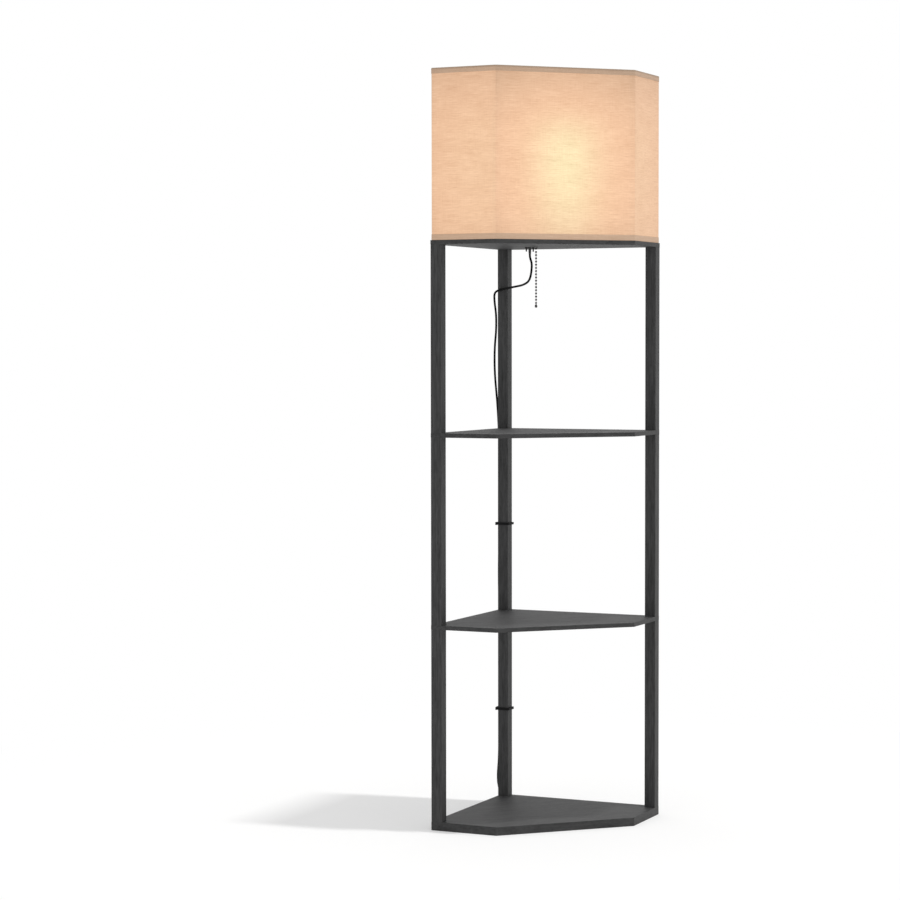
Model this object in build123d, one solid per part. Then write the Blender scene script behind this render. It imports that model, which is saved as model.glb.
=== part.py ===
from build123d import *
import math
import os

# Corner floor lamp with shelves: a five-sided base, two shelves and a lamp board on three square
# posts, a fabric shade on a wire frame, and a pull-chain lampholder with its lead.
#
# Row frame: origin under the middle of the footprint, +Z up, the slanting front faces -Y and the
# corner of the room is at +Y. Corner frame, used for everything square to the walls: origin at the
# back corner, x along the left wall, y along the right wall.

os.makedirs("parts", exist_ok=True)

# Footprint and posts
wall_side = 372.0             # along each wall, from the corner to the end of the board
short_side = 150.0            # the short side beside each front post
post_side = 24.0
post_edge_radius = 1.0
base_thickness = 18.0
board_thickness = 9.0
board_edge_radius = 0.6
lower_post_length = 407.0
upper_post_length = 395.0     # middle and upper sections are alike

# Threaded hardware
thread_diameter = 6.0
thread_clearance = 0.05       # radial, stud in insert
hole_clearance = 0.3          # radial, stud in board
insert_diameter = 9.0
insert_length = 13.0
insert_clearance = 0.05       # radial, insert in its post
thread_grip = 11.0            # how far a stud or bolt reaches into a post
stud_end_gap = 4.0            # free depth beyond the thread
bolt_head_diameter = 12.0
bolt_head_height = 3.4
bolt_head_sink = 0.4          # how far a head lies below the board's face
hex_key_size = 4.0
hex_key_depth = 2.4

# Shade
shade_height = 358.0
shade_corner_radius = 7.0
tape_thickness = 0.6          # hem tape, and the lap that it stands proud of the cloth
cloth_thickness = 0.8
liner_thickness = 0.5
tape_height = 12.0
ring_wire_diameter = 3.0
wire_clearance = 0.1          # round the wire in its hem
strut_clearance = 0.3
clip_width = 14.0
clip_thickness = 1.2
clip_foot = 16.0
clip_clearance = 0.2
clip_screw_diameter = 3.0
clip_screw_length = 7.0
clip_screw_head = 6.0
clip_screw_head_height = 1.8

# Lampholder, on the line from the back corner to the middle of the front
holder_from_corner = 117.0    # along each wall
holder_turn = 12.2            # degrees, turns the pull chain off the front line
holder_diameter = 36.0
holder_wall = 2.5
holder_floor = 3.0
holder_base_height = 26.0
switch_height = 32.0
shell_diameter = 39.0
shell_height = 40.0
shell_wall = 2.0
shell_lip = 4.0
sleeve_thickness = 0.5
screw_shell_diameter = 28.0
screw_shell_thickness = 0.5
screw_shell_height = 24.0
holder_screw_spacing = 18.0
holder_screw_diameter = 3.0
holder_screw_head = 5.5
holder_screw_head_height = 2.0
nut_across_flats = 5.5
nut_height = 2.4
washer_diameter = 6.6
washer_thickness = 0.6
screw_end = 6.0               # thread showing below the nut

# Bulb
bulb_diameter = 60.0
bulb_neck_radius = 14.0
bulb_neck_blend = 40.0
bulb_glass_thickness = 0.9
cap_diameter = 26.2
cap_height = 24.0
cap_wall = 0.6
insulator_height = 3.0
contact_diameter = 9.0
contact_height = 1.6
thread_lead = 3.6
stem_height = 42.0
stem_radius = 4.0
filament_wire = 0.6
filament_span = 16.0

# Pull chain
chain_from_holder = 24.0      # chain line to lampholder axis
bead_diameter = 4.5
bead_pitch = 6.85
link_diameter = 1.3
chain_gap = 0.3               # between a link's end and the bead that it swings on
hanging_beads = 17
chain_clearance = 0.6         # radial, bead in its guides
guide_wall = 1.0
guide_height = 16.0
guide_base = 34.0             # above the lamp board
eyelet_flange = 1.5
eyelet_lip = 0.8
swing_drop = 0.6              # eyelet lip to the top of the swinging bead
pull_travel = 8.0
bell_height = 9.0
bell_top_diameter = 3.4
bell_diameter = 7.4
bell_rim = 1.6

# Lead
cord_diameter = 4.6
relief_length = 14.0
relief_root_diameter = 6.6
relief_flange_diameter = 10.0
relief_flange = 1.2
relief_clearance = 0.2
strap_heights = [626.0, 213.0]
strap_width = 5.0
strap_thickness = 3.4
strap_clearance = 0.3
strap_buckle = 6.4
cord_at_strap = (8.0, -3.0)   # corner frame, where the straps hold the lead to the back post
floor_clearance = 1.5         # lead to the side of the base

# Spare lead, folded into a hank beside the base
hank_run = 92.0
hank_fold_radius = 13.8       # innermost fold
hank_step = 5.6
hank_layer = 5.1
hank_waist = 10.5             # how far the tie draws the runs in
hank_from_corner = 128.0      # middle of the hank, along the right wall
tail_length = 42.0            # from the hank's last fold to the plug
tie_width = 9.0
tie_thickness = 0.6
tie_clearance = 0.2

# Plug
plug_width = 22.0
plug_thickness = 12.0
plug_length = 30.0
plug_edge_radius = 3.0
plug_nose_length = 24.0
plug_nose_root = 10.0
blade_spacing = 12.7
blade_width = 6.3
blade_thickness = 1.5
blade_length = 17.0

# Worked out from the sizes above
depth = (wall_side + short_side) / math.sqrt(2)
corner_y = depth / 2
lower_shelf_z = base_thickness + lower_post_length
upper_shelf_z = lower_shelf_z + board_thickness + upper_post_length
lamp_board_z = upper_shelf_z + board_thickness + upper_post_length
lamp_board_top = lamp_board_z + board_thickness
holder_y = corner_y - holder_from_corner * math.sqrt(2)
post_middle = post_side / 2
post_far = wall_side - post_middle
post_centres = {
    "left": (post_far, post_middle),
    "right": (post_middle, post_far),
    "back": (post_middle, post_middle),
}


def in_corner(shape):
    """Moves a shape from the corner frame to the row frame."""
    return Pos(0, corner_y, 0) * Rot(0, 0, 225) * shape


def corner_to_row(x, y, z):
    along, across = x + y, y - x
    return Vector(across / math.sqrt(2), corner_y - along / math.sqrt(2), z)


def at_holder(shape):
    """Moves a shape from the lampholder's frame, which stands on the lamp board, to the row frame."""
    return Pos(0, holder_y, lamp_board_top) * Rot(0, 0, holder_turn) * shape


def save(name, shapes):
    solids = [solid for shape in shapes for solid in shape.solids()]
    body = solids[0] if len(solids) == 1 else Compound(children=solids)
    body.label = name
    export_step(body, os.path.join("parts", name + ".step"))


def tube(outer, inner, z0, z1):
    ring = Circle(outer) - Circle(inner)
    return Pos(0, 0, z0) * extrude(ring, z1 - z0)


def rod(radius, z0, z1):
    return Pos(0, 0, z0) * extrude(Circle(radius), z1 - z0)


# Boards

def outline(inset, corner_radius=0.0):
    """The five-sided footprint as a face, drawn in by inset on every side."""
    near, far = inset, wall_side - inset
    short = short_side - inset * (math.sqrt(2) - 1)
    corners = [(near, near), (far, near), (far, short), (short, far), (near, far)]
    face = make_face(Polyline(*corners, close=True))
    if corner_radius > 0:
        face = fillet(face.vertices(), corner_radius)
    return face


def plain_board(thickness):
    board = extrude(outline(0.0), thickness)
    rims = board.edges().group_by(Axis.Z)[0] + board.edges().group_by(Axis.Z)[-1]
    return fillet(rims, board_edge_radius)


def stud_holes(thickness):
    radius = thread_diameter / 2 + hole_clearance
    return [Pos(x, y, 0) * rod(radius, -1, thickness + 1) for x, y in post_centres.values()]


def head_cone(radius_gap):
    """The cone of a flat-headed bolt, wide end down at z 0."""
    wide = bolt_head_diameter / 2 + radius_gap
    narrow = thread_diameter / 2 + radius_gap
    profile = Polyline((0, 0), (wide, 0), (narrow, bolt_head_height), (0, bolt_head_height), close=True)
    return revolve(make_face(Plane.XZ * profile), Axis.Z)


def head_pocket():
    """What a sunk bolt head takes out of a board, from the board's face at z 0."""
    mouth = rod(bolt_head_diameter / 2 + hole_clearance, -1, bolt_head_sink)
    return mouth + Pos(0, 0, bolt_head_sink) * head_cone(hole_clearance)


def base_board():
    board = plain_board(base_thickness) - stud_holes(base_thickness)
    return board - [Pos(x, y, 0) * head_pocket() for x, y in post_centres.values()]


def shelf():
    return plain_board(board_thickness) - stud_holes(board_thickness)


def lamp_board():
    board = shelf()
    turned = Pos(0, 0, board_thickness) * Rot(180, 0, 0) * head_pocket()
    board -= [Pos(x, y, 0) * turned for x, y in post_centres.values()]
    board = in_corner(Pos(0, 0, lamp_board_z) * board)
    cutters = [rod(relief_root_diameter / 2 + relief_clearance, -board_thickness - 1, 1)]
    for side in (-1, 1):
        place = Pos(side * holder_screw_spacing / 2, 0, 0)
        cutters.append(place * rod(holder_screw_diameter / 2 + 0.2, -board_thickness - 1, 1))
    cutters.append(Pos(0, -chain_from_holder, 0) * rod(eyelet_radius() + 0.1, -board_thickness - 1, 1))
    return board - [at_holder(cutter) for cutter in cutters]


# Posts and their hardware

def post_section(length):
    face = Rectangle(post_side, post_side)
    post = extrude(fillet(face.vertices(), post_edge_radius), length)
    socket = rod(insert_diameter / 2, -1, insert_length)
    socket += rod(thread_diameter / 2 + hole_clearance, 0, thread_grip + stud_end_gap)
    post -= socket
    return post - Pos(0, 0, length) * Rot(180, 0, 0) * socket


def section_spans():
    return {
        "lower": (base_thickness, lower_post_length),
        "middle": (lower_shelf_z + board_thickness, upper_post_length),
        "upper": (upper_shelf_z + board_thickness, upper_post_length),
    }


def insert():
    """A threaded insert with its flush mouth at z 0."""
    sleeve = tube(insert_diameter / 2 - insert_clearance, thread_diameter / 2 + thread_clearance, 0, insert_length)
    return chamfer(sleeve.edges().group_by(Axis.Z)[-1].sort_by(SortBy.RADIUS)[-1:], 0.6)


def all_inserts():
    made = []
    for z, length in section_spans().values():
        for x, y in post_centres.values():
            made.append(Pos(x, y, z) * insert())
            made.append(Pos(x, y, z + length) * Rot(180, 0, 0) * insert())
    return [in_corner(piece) for piece in made]


def stud():
    length = board_thickness + 2 * thread_grip
    body = rod(thread_diameter / 2, -thread_grip, length - thread_grip)
    return chamfer(body.edges().filter_by(GeomType.CIRCLE), 0.6)


def all_studs():
    spots = post_centres.values()
    levels = (lower_shelf_z, upper_shelf_z)
    return [in_corner(Pos(x, y, z) * stud()) for z in levels for x, y in spots]


def flat_bolt(board):
    """A flat-headed bolt through a board of the given thickness, its head down at the face at z 0."""
    bolt = Pos(0, 0, bolt_head_sink) * head_cone(0.0)
    bolt += rod(thread_diameter / 2, bolt_head_sink + bolt_head_height - 0.5, board + thread_grip)
    key = Pos(0, 0, bolt_head_sink) * extrude(RegularPolygon(hex_key_size / 2, 6, major_radius=False), hex_key_depth)
    return bolt - key


def base_bolts():
    return [in_corner(Pos(x, y, 0) * flat_bolt(base_thickness)) for x, y in post_centres.values()]


def lamp_board_bolts():
    bolt = Rot(180, 0, 0) * flat_bolt(board_thickness)
    return [in_corner(Pos(x, y, lamp_board_top) * bolt) for x, y in post_centres.values()]


# Shade

def band(outer_inset, inner_inset, z0, z1):
    """A closed wall that follows the footprint, between two insets and two heights."""
    outer = outline(outer_inset, max(shade_corner_radius - outer_inset, 0.5))
    inner = outline(inner_inset, max(shade_corner_radius - inner_inset, 0.5))
    return Pos(0, 0, z0) * extrude(outer - inner, z1 - z0)


def wall_thickness():
    """The hem tape, the cloth and its liner."""
    return tape_thickness + cloth_thickness + liner_thickness


def ring_inset():
    return wall_thickness() + wire_clearance + ring_wire_diameter / 2


def ring_rise():
    """From a rim of the shade to the middle of its wire."""
    return tape_thickness + wire_clearance + ring_wire_diameter / 2


def ring_bend_radius():
    return shade_corner_radius - ring_inset()


def shade_cloth():
    lap = tape_thickness
    return in_corner(Pos(0, 0, lamp_board_top) * band(lap, lap + cloth_thickness, lap, shade_height - lap))


def shade_liner():
    outer = tape_thickness + cloth_thickness
    wall = band(outer, outer + liner_thickness, tape_thickness, shade_height - tape_thickness)
    return in_corner(Pos(0, 0, lamp_board_top) * wall)


def hem_tape():
    """The folded tape round the bottom rim and its wire, rim down at z 0."""
    wall = wall_thickness()
    round_wire = wall + ring_wire_diameter + 2 * wire_clearance
    ledge = tape_thickness + ring_wire_diameter + 2 * wire_clearance
    tape = band(0, tape_thickness, 0, tape_height)
    tape += band(tape_thickness, round_wire + tape_thickness, 0, tape_thickness)
    tape += band(round_wire, round_wire + tape_thickness, tape_thickness, ledge)
    tape += band(wall, round_wire + tape_thickness, ledge, ledge + tape_thickness)
    tape += band(wall, wall + tape_thickness, ledge, tape_height)
    return tape - [Pos(x, y, 0) * rod(ring_wire_diameter / 2 + strut_clearance, ledge - 0.1, tape_height + 1)
                   for x, y in strut_places()]


def strut_places():
    """One strut in each corner of the wire ring, at the middle of the ring's bend."""
    inset = ring_inset()
    near, far = inset, wall_side - inset
    short = short_side - inset * (math.sqrt(2) - 1)
    corners = [(near, near), (far, near), (far, short), (short, far), (near, far)]
    places = []
    for before, here, after in zip(corners[-1:] + corners[:-1], corners, corners[1:] + corners[:1]):
        to_before = (Vector(*before) - Vector(*here)).normalized()
        to_after = (Vector(*after) - Vector(*here)).normalized()
        half = math.radians(to_before.get_angle(to_after)) / 2
        inward = (to_before + to_after).normalized()
        spot = Vector(*here) + inward * (ring_bend_radius() / math.sin(half) - ring_bend_radius())
        places.append((spot.X, spot.Y))
    return places


def wire_ring(z):
    inset = ring_inset()
    loop = outline(inset, ring_bend_radius()).wires()[0]
    section = Plane(origin=loop @ 0, z_dir=loop % 0) * Circle(ring_wire_diameter / 2)
    return in_corner(Pos(0, 0, z) * sweep(section, path=loop))


def shade_struts():
    low = lamp_board_top + ring_rise()
    high = lamp_board_top + shade_height - ring_rise()
    return [in_corner(Pos(x, y, 0) * rod(ring_wire_diameter / 2, low, high)) for x, y in strut_places()]


def clip_places():
    """Middle of each side of the footprint and the inward direction there, in degrees."""
    middle = wall_side / 2
    side = short_side / 2
    slant = (wall_side + short_side) / 2
    return [(middle, 0, 90), (0, middle, 0), (wall_side, side, 180), (side, wall_side, 270), (slant, slant, 225)]


def clip_inner():
    return wall_thickness() + ring_wire_diameter + 2 * wire_clearance + tape_thickness + clip_clearance


def shade_clip():
    """A bent steel clip; x runs inwards from the rim at 0, foot on the board at z 0."""
    riser = clip_inner()
    reach = wall_thickness() + tape_thickness + clip_clearance
    top = 2 * tape_thickness + ring_wire_diameter + 2 * wire_clearance + clip_clearance
    points = [
        (riser, 0), (riser + clip_foot, 0), (riser + clip_foot, clip_thickness),
        (riser + clip_thickness, clip_thickness), (riser + clip_thickness, top + clip_thickness),
        (reach, top + clip_thickness), (reach, top), (riser, top),
    ]
    profile = Plane.XZ * make_face(Polyline(*points, close=True))
    clip = extrude(profile, clip_width / 2, both=True)
    hole = Pos(clip_screw_x(), 0, 0) * rod(clip_screw_diameter / 2 + 0.1, -1, clip_thickness + 1)
    return clip - hole


def clip_screw_x():
    return clip_inner() + clip_thickness + (clip_foot - clip_thickness) / 2


def clip_screw():
    screw = rod(clip_screw_diameter / 2, -clip_screw_length, clip_thickness)
    head = rod(clip_screw_head / 2, clip_thickness, clip_thickness + clip_screw_head_height)
    head = fillet(head.edges().group_by(Axis.Z)[-1], clip_screw_head_height * 0.6)
    slot = Pos(0, 0, clip_thickness + clip_screw_head_height) * (Box(3.4, 0.7, 1.6) + Box(0.7, 3.4, 1.6))
    return Pos(clip_screw_x(), 0, 0) * (screw + head - slot)


def at_clips(shape):
    spots = clip_places()
    return [in_corner(Pos(x, y, lamp_board_top) * Rot(0, 0, turn) * shape) for x, y, turn in spots]


def clip_screw_holes():
    hole = Pos(clip_screw_x(), 0, 0) * rod(clip_screw_diameter / 2 + 0.05, -clip_screw_length - 0.5, 1)
    return at_clips(hole)


# Lampholder, drawn standing on the board at z 0 with its axis at x 0, y 0 and the chain at -y

def holder_base():
    radius = holder_diameter / 2
    cup = rod(radius, 0, holder_base_height) - rod(radius - holder_wall, holder_floor, holder_base_height + 1)
    cup -= rod(cord_diameter / 2 + 1.0, -1, holder_floor + 1)
    for side in (-1, 1):
        place = Pos(side * holder_screw_spacing / 2, 0, 0)
        cup -= place * rod(holder_screw_diameter / 2 + 0.2, -1, holder_floor + 1)
    return fillet(cup.edges().group_by(Axis.Z)[0].sort_by(SortBy.RADIUS)[-1:], 1.0)


def switch_housing():
    radius = holder_diameter / 2
    low, high = holder_base_height, holder_base_height + switch_height
    body = rod(radius, low, high) - rod(radius - holder_wall * 2, low + 4, high - 4)
    for k in range(3):
        body -= tube(radius + 1, radius - 0.5, low + 8 + 7 * k, low + 9.2 + 7 * k)
    return body


def chain_guide():
    """A brass mouth on the switch housing that turns the chain straight down."""
    inner = bead_diameter / 2 + chain_clearance
    outer = inner + guide_wall
    top = guide_base + guide_height
    mouth = tube(outer, inner, guide_base, top) + rod(outer, top, top + guide_wall)
    flare = tube(outer + 0.8, inner, guide_base, guide_base + 1.2)
    mouth = Pos(0, -chain_from_holder, 0) * (mouth + flare)
    arm_length = chain_from_holder - holder_diameter / 2 - outer + guide_wall
    arm = Plane(origin=(0, -holder_diameter / 2, top - 4), z_dir=(0, -1, 0)) * Circle(2.6)
    return mouth + extrude(arm, arm_length)


def shell_z():
    return holder_base_height + switch_height


def holder_shell():
    low, high = shell_z(), shell_z() + shell_height
    radius = shell_diameter / 2
    cup = rod(radius, low, high) - rod(radius - shell_wall, low + 2.5, high + 1)
    cup -= rod(contact_diameter / 2 + 1.5, low - 1, low + 3)
    lip = tube(radius + 1.2, radius, high - shell_lip, high)
    return cup + lip


def insulating_sleeve():
    radius = shell_diameter / 2 - shell_wall - 0.2
    return tube(radius, radius - sleeve_thickness, shell_z() + 2.6, shell_z() + shell_height - 3)


def screw_shell():
    low = shell_z() + 4.5
    radius = screw_shell_diameter / 2
    shell = tube(radius, radius - screw_shell_thickness, low, low + screw_shell_height)
    flange = tube(radius, contact_diameter / 2 + 2.5, low - 0.6, low + 0.4)
    foot = tube(radius, radius - 1.5, shell_z() + 2.5, low)
    return shell + flange + foot


def centre_contact():
    """A springy brass tongue below the bulb's button."""
    low = shell_z() + 0.2
    tongue = Pos(0, 0, low + 4.4) * Box(5, 9, 0.5)
    return tongue + rod(1.5, low, low + 4.4)


def holder_screws():
    made = []
    length = board_thickness + holder_floor + washer_thickness + nut_height + screw_end
    for side in (-1, 1):
        shank = rod(holder_screw_diameter / 2, holder_floor - length, holder_floor + 0.1)
        head = rod(holder_screw_head / 2, holder_floor, holder_floor + holder_screw_head_height)
        slot = Pos(0, 0, holder_floor + holder_screw_head_height) * Box(holder_screw_head + 1, 0.8, 1.6)
        made.append(at_holder(Pos(side * holder_screw_spacing / 2, 0, 0) * (shank + head - slot)))
    return made


def holder_washers():
    washer = tube(washer_diameter / 2, holder_screw_diameter / 2 + 0.1, -washer_thickness, 0)
    spots = [side * holder_screw_spacing / 2 for side in (-1, 1)]
    return [at_holder(Pos(x, 0, -board_thickness) * washer) for x in spots]


def holder_nuts():
    low = -board_thickness - washer_thickness - nut_height
    nut = Pos(0, 0, low) * extrude(RegularPolygon(nut_across_flats / 2, 6, major_radius=False), nut_height)
    nut &= rod(nut_across_flats / 2 + 0.35, low, low + nut_height)
    nut -= rod(holder_screw_diameter / 2 + 0.02, low - 1, low + nut_height + 1)
    spots = [side * holder_screw_spacing / 2 for side in (-1, 1)]
    return [at_holder(Pos(x, 0, 0) * nut) for x in spots]


# Bulb, in the lampholder's frame

def bulb_seat():
    """Height of the button's lower face when the bulb is screwed home."""
    return shell_z() + 5.2


def cap_bottom():
    return bulb_seat() + contact_height + insulator_height


def neck_z():
    return cap_bottom() + cap_height


def bulb_profile(shrink):
    """Half outline of the glass, drawn in by shrink: neck, hollow blend and round head."""
    ball = bulb_diameter / 2 - shrink
    neck = bulb_neck_radius - shrink
    blend = bulb_neck_blend + shrink
    middle = neck_z() + math.sqrt((ball + blend) ** 2 - (neck + blend) ** 2)
    share = ball / (ball + blend)
    joint = (share * (neck + blend), middle - share * (middle - neck_z()))
    turn = math.atan2(middle - neck_z(), neck + blend) / 2
    hollow = (neck + blend - blend * math.cos(turn), neck_z() + blend * math.sin(turn))
    start = neck_z() - 4 + shrink
    lines = [
        Line((0, start), (neck, start)),
        Line((neck, start), (neck, neck_z())),
        ThreePointArc((neck, neck_z()), hollow, joint),
        ThreePointArc(joint, (ball, middle), (0, middle + ball)),
        Line((0, middle + ball), (0, start)),
    ]
    return Plane.XZ * make_face(lines)


def bulb_middle():
    ball, blend = bulb_diameter / 2, bulb_neck_blend
    return neck_z() + math.sqrt((ball + blend) ** 2 - (bulb_neck_radius + blend) ** 2)


def bulb_glass():
    outer = revolve(bulb_profile(0), Axis.Z)
    return outer - revolve(bulb_profile(bulb_glass_thickness), Axis.Z)


def bulb_cap():
    """The threaded cap, with rounded thread ridges, closed onto the glass neck."""
    radius = cap_diameter / 2
    low, high = cap_bottom(), neck_z()
    cap = tube(radius - 0.7, radius - 0.7 - cap_wall, low, high - 4.4)
    for k in range(5):
        z = low + 3 + k * thread_lead
        ridge = make_face(Polyline((radius - 0.8, z - 1.3), (radius, z - 0.4), (radius, z + 0.4),
                                   (radius - 0.8, z + 1.3), close=True))
        cap += revolve(Plane.XZ * ridge, Axis.Z)
    rim = tube(bulb_neck_radius + 0.9, bulb_neck_radius + 0.05, high - 4, high)
    rim += tube(bulb_neck_radius + 0.9, radius - 0.7 - cap_wall, high - 4.8, high - 4)
    return cap + rim


def bulb_insulator():
    low, high = bulb_seat() + contact_height, cap_bottom()
    points = [(0, low), (contact_diameter / 2 + 0.5, low), (cap_diameter / 2 - 1.4, high), (0, high)]
    return revolve(Plane.XZ * make_face(Polyline(*points, close=True)), Axis.Z)


def bulb_contact():
    button = rod(contact_diameter / 2, bulb_seat(), bulb_seat() + contact_height)
    return fillet(button.edges().group_by(Axis.Z)[0], contact_height * 0.6)


def bulb_stem():
    low = neck_z() - 4 + bulb_glass_thickness
    flare = Pos(0, 0, low) * Cone(bulb_neck_radius - 2.5, stem_radius, 9, align=(Align.CENTER, Align.CENTER, Align.MIN))
    return flare + rod(stem_radius, low + 8.5, low + stem_height * 0.7) + rod(1.4, low, low + stem_height)


def bulb_filament():
    """Two supports and a shallow arch of wire between them."""
    top = neck_z() + stem_height * 0.66
    half, radius = filament_span / 2, filament_wire / 2
    parts = []
    for side in (-1, 1):
        lean = Plane(origin=(side * 2.6, 0, top - 18), z_dir=(side * (half - 2.6), 0, 18))
        parts.append(extrude(lean * Circle(radius), math.hypot(half - 2.6, 18)))
    arch = ThreePointArc((-half, 0, top), (0, 0, top + 5), (half, 0, top))
    parts.append(sweep(Plane(origin=arch @ 0, z_dir=arch % 0) * Circle(radius), path=arch))
    return parts[0] + parts[1] + parts[2]


# Pull chain, drawn on its own line at x 0, y 0 in the lampholder's heights

def eyelet_radius():
    return bead_diameter / 2 + chain_clearance + guide_wall


def chain_eyelet():
    """A rolled metal eyelet that lines the chain's hole through the board."""
    inner = bead_diameter / 2 + chain_clearance
    barrel = tube(eyelet_radius(), inner, -board_thickness - eyelet_lip, eyelet_lip)
    flanges = tube(eyelet_radius() + eyelet_flange, inner, 0, eyelet_lip)
    flanges += tube(eyelet_radius() + eyelet_flange, inner, -board_thickness - eyelet_lip, -board_thickness)
    return barrel + flanges


def swing_z():
    """Height of the bead that the hanging chain swings on, just below the eyelet."""
    return -board_thickness - eyelet_lip - swing_drop - bead_diameter / 2


def chain_beads(heights, z_low, z_high):
    """Beads at the given heights, joined by a wire from z_low to z_high."""
    chain = rod(link_diameter / 2, z_low, z_high)
    for z in heights:
        chain += Pos(0, 0, z) * Sphere(bead_diameter / 2)
    return chain


def upper_chain():
    highest = guide_base + guide_height - bead_diameter / 2 - chain_gap
    count = int((highest - swing_z()) / bead_pitch)
    heights = [swing_z() + bead_pitch * (k + 1) for k in range(count)]
    return chain_beads(heights, swing_z() + bead_diameter / 2 + chain_gap, heights[-1])


def swivel_bead():
    return Pos(0, 0, swing_z()) * Sphere(bead_diameter / 2)


def hanging_chain():
    heights = [swing_z() - bead_pitch * (k + 1) for k in range(hanging_beads)]
    return chain_beads(heights, heights[-1] - bead_pitch / 2, swing_z() - bead_diameter / 2 - chain_gap)


def chain_bell():
    top = swing_z() - bead_pitch * hanging_beads - bead_diameter / 2 - 0.1
    half_top, half_low = bell_top_diameter / 2, bell_diameter / 2
    outline_points = [(half_top, top), (half_top + 0.5, top - bell_height * 0.35), (half_low, top - bell_height + bell_rim)]
    sides = Spline(*outline_points)
    lines = [
        Line((link_diameter / 2, top), (half_top, top)), sides,
        Line((half_low, top - bell_height + bell_rim), (half_low, top - bell_height)),
        Line((half_low, top - bell_height), (link_diameter / 2, top - bell_height)),
        Line((link_diameter / 2, top - bell_height), (link_diameter / 2, top)),
    ]
    return revolve(Plane.XZ * make_face(lines), Axis.Z)


def on_chain(shape):
    return at_holder(Pos(0, -chain_from_holder, 0) * shape)


# Lead

def cord_relief():
    """The tapered sleeve under the lamp board that the lead comes out of."""
    root, tip = relief_root_diameter / 2, cord_diameter / 2 + 0.3
    low = -board_thickness
    points = [
        (0, 0), (root, 0), (root, low), (relief_flange_diameter / 2, low),
        (relief_flange_diameter / 2, low - relief_flange), (root, low - relief_flange),
        (tip, low - relief_length), (0, low - relief_length),
    ]
    return at_holder(revolve(Plane.XZ * make_face(Polyline(*points, close=True)), Axis.Z))


# The lead's route in the row frame, from below its sleeve to the floor beside the base
cord_route = [
    (1.6, 11.0, 1196.0),
    (1.4, 10.5, 1181.0),
    (0.4, 17.0, 1166.0),
    (-0.6, 33.0, 1156.5),
    (-1.0, 58.0, 1153.0),
    (-1.6, 90.0, 1151.0),
    (-3.0, 122.0, 1149.0),
    (-6.5, 150.0, 1147.5),
    (-17.5, 163.5, 1144.5),
    (-27.5, 172.0, 1135.5),
    (-24.5, 179.5, 1117.5),
    (-17.0, 177.5, 1091.0),
    (-17.5, 175.0, 1056.0),
    (-22.0, 172.5, 1021.0),
    (-23.0, 172.0, 985.0),
    (-20.5, 174.5, 948.0),
    (-14.5, 179.0, 905.0),
    (-10.0, 181.5, 855.0),
    (-8.0, 181.5, 800.0),
    (-8.4, 180.6, 744.0),
    (-8.6, 180.3, 686.0),
    (-7.8, 181.0, 626.0),
    (-8.4, 182.0, 570.0),
    (-8.9, 182.8, 512.0),
    (-8.0, 182.6, 452.0),
    (-7.6, 181.6, 392.0),
    (-8.2, 180.7, 332.0),
    (-8.6, 180.4, 272.0),
    (-7.8, 181.0, 213.0),
    (-8.6, 182.2, 155.0),
    (-8.0, 183.0, 99.0),
    (-5.6, 185.6, 54.0),
    (-1.6, 192.0, 24.0),
    (7.0, 199.0, 6.0),
    (20.0, 200.0, 2.3),
    (35.0, 192.0, 2.3),
    (47.0, 175.0, 2.3),
]


def corner_radii(points):
    """The arc at each inner corner of a route: as large as its two runs allow."""
    radii = []
    for before, here, after in zip(points, points[1:], points[2:]):
        run_in, run_out = Vector(here) - Vector(before), Vector(after) - Vector(here)
        turn = math.radians(run_in.get_angle(run_out))
        radii.append(0.45 * min(run_in.length, run_out.length) / math.tan(turn / 2))
    return radii


def round_sweep(path, diameter):
    return sweep(Plane(origin=path @ 0, z_dir=path % 0) * Circle(diameter / 2), path=path)


def route_points():
    """The hand-chosen points, ended by the two that line up with the hank's first run."""
    sleeve_tip = (0.0, holder_y, lamp_board_z - relief_length)
    below_tip = (0.0, holder_y, lamp_board_z - relief_length - 9.0)
    lead_in = hank_point(-hank_run / 2 - 24, 0, 0)
    hank_start = hank_point(-hank_run / 2, 0, 0)
    return [sleeve_tip, below_tip] + cord_route + [tuple(lead_in), tuple(hank_start)]


def power_cord():
    points = route_points()
    radii = corner_radii(points)
    path = FilletPolyline(*points, radius=radii)
    solid = round_sweep(path, cord_diameter)
    expected = math.pi * (cord_diameter / 2) ** 2 * path.length
    print("cord radii", [round(r) for r in radii])
    print("cord length %.1f, volume %.1f against %.1f" % (path.length, solid.volume, expected))
    return solid


# The hank: its frame has x along the base's back right edge and y away from it

def hank_point(x, y, z):
    """A point of the hank; y counts from the run nearest to the base, z from the lower layer."""
    near = -(floor_clearance + cord_diameter / 2)
    return corner_to_row(near - y, hank_from_corner + x, cord_diameter / 2 + z)


def s_bend(first, last, along):
    """Two equal arcs from first to last that leave and arrive along the same direction."""
    middle = (first + last) * 0.5
    start = Edge.make_tangent_arc(first, along, middle)
    return [start, Edge.make_tangent_arc(middle, start % 1, last)]


def hank_runs():
    """The seven runs as (y, z at the start, z at the end), in the order that the lead follows."""
    outer, inner = hank_fold_radius + hank_step, hank_fold_radius
    far_outer = 2 * outer
    near_inner = far_outer - 2 * (outer + inner) / 2
    far_inner = near_inner + 2 * inner
    top = hank_layer
    return [
        (0.0, 0.0, 0.0), (far_outer, 0.0, 0.0), (near_inner, 0.0, 0.0), (far_inner, 0.0, top),
        (near_inner, top, top), (far_outer, top, top), (0.0, top, top),
    ]


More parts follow.
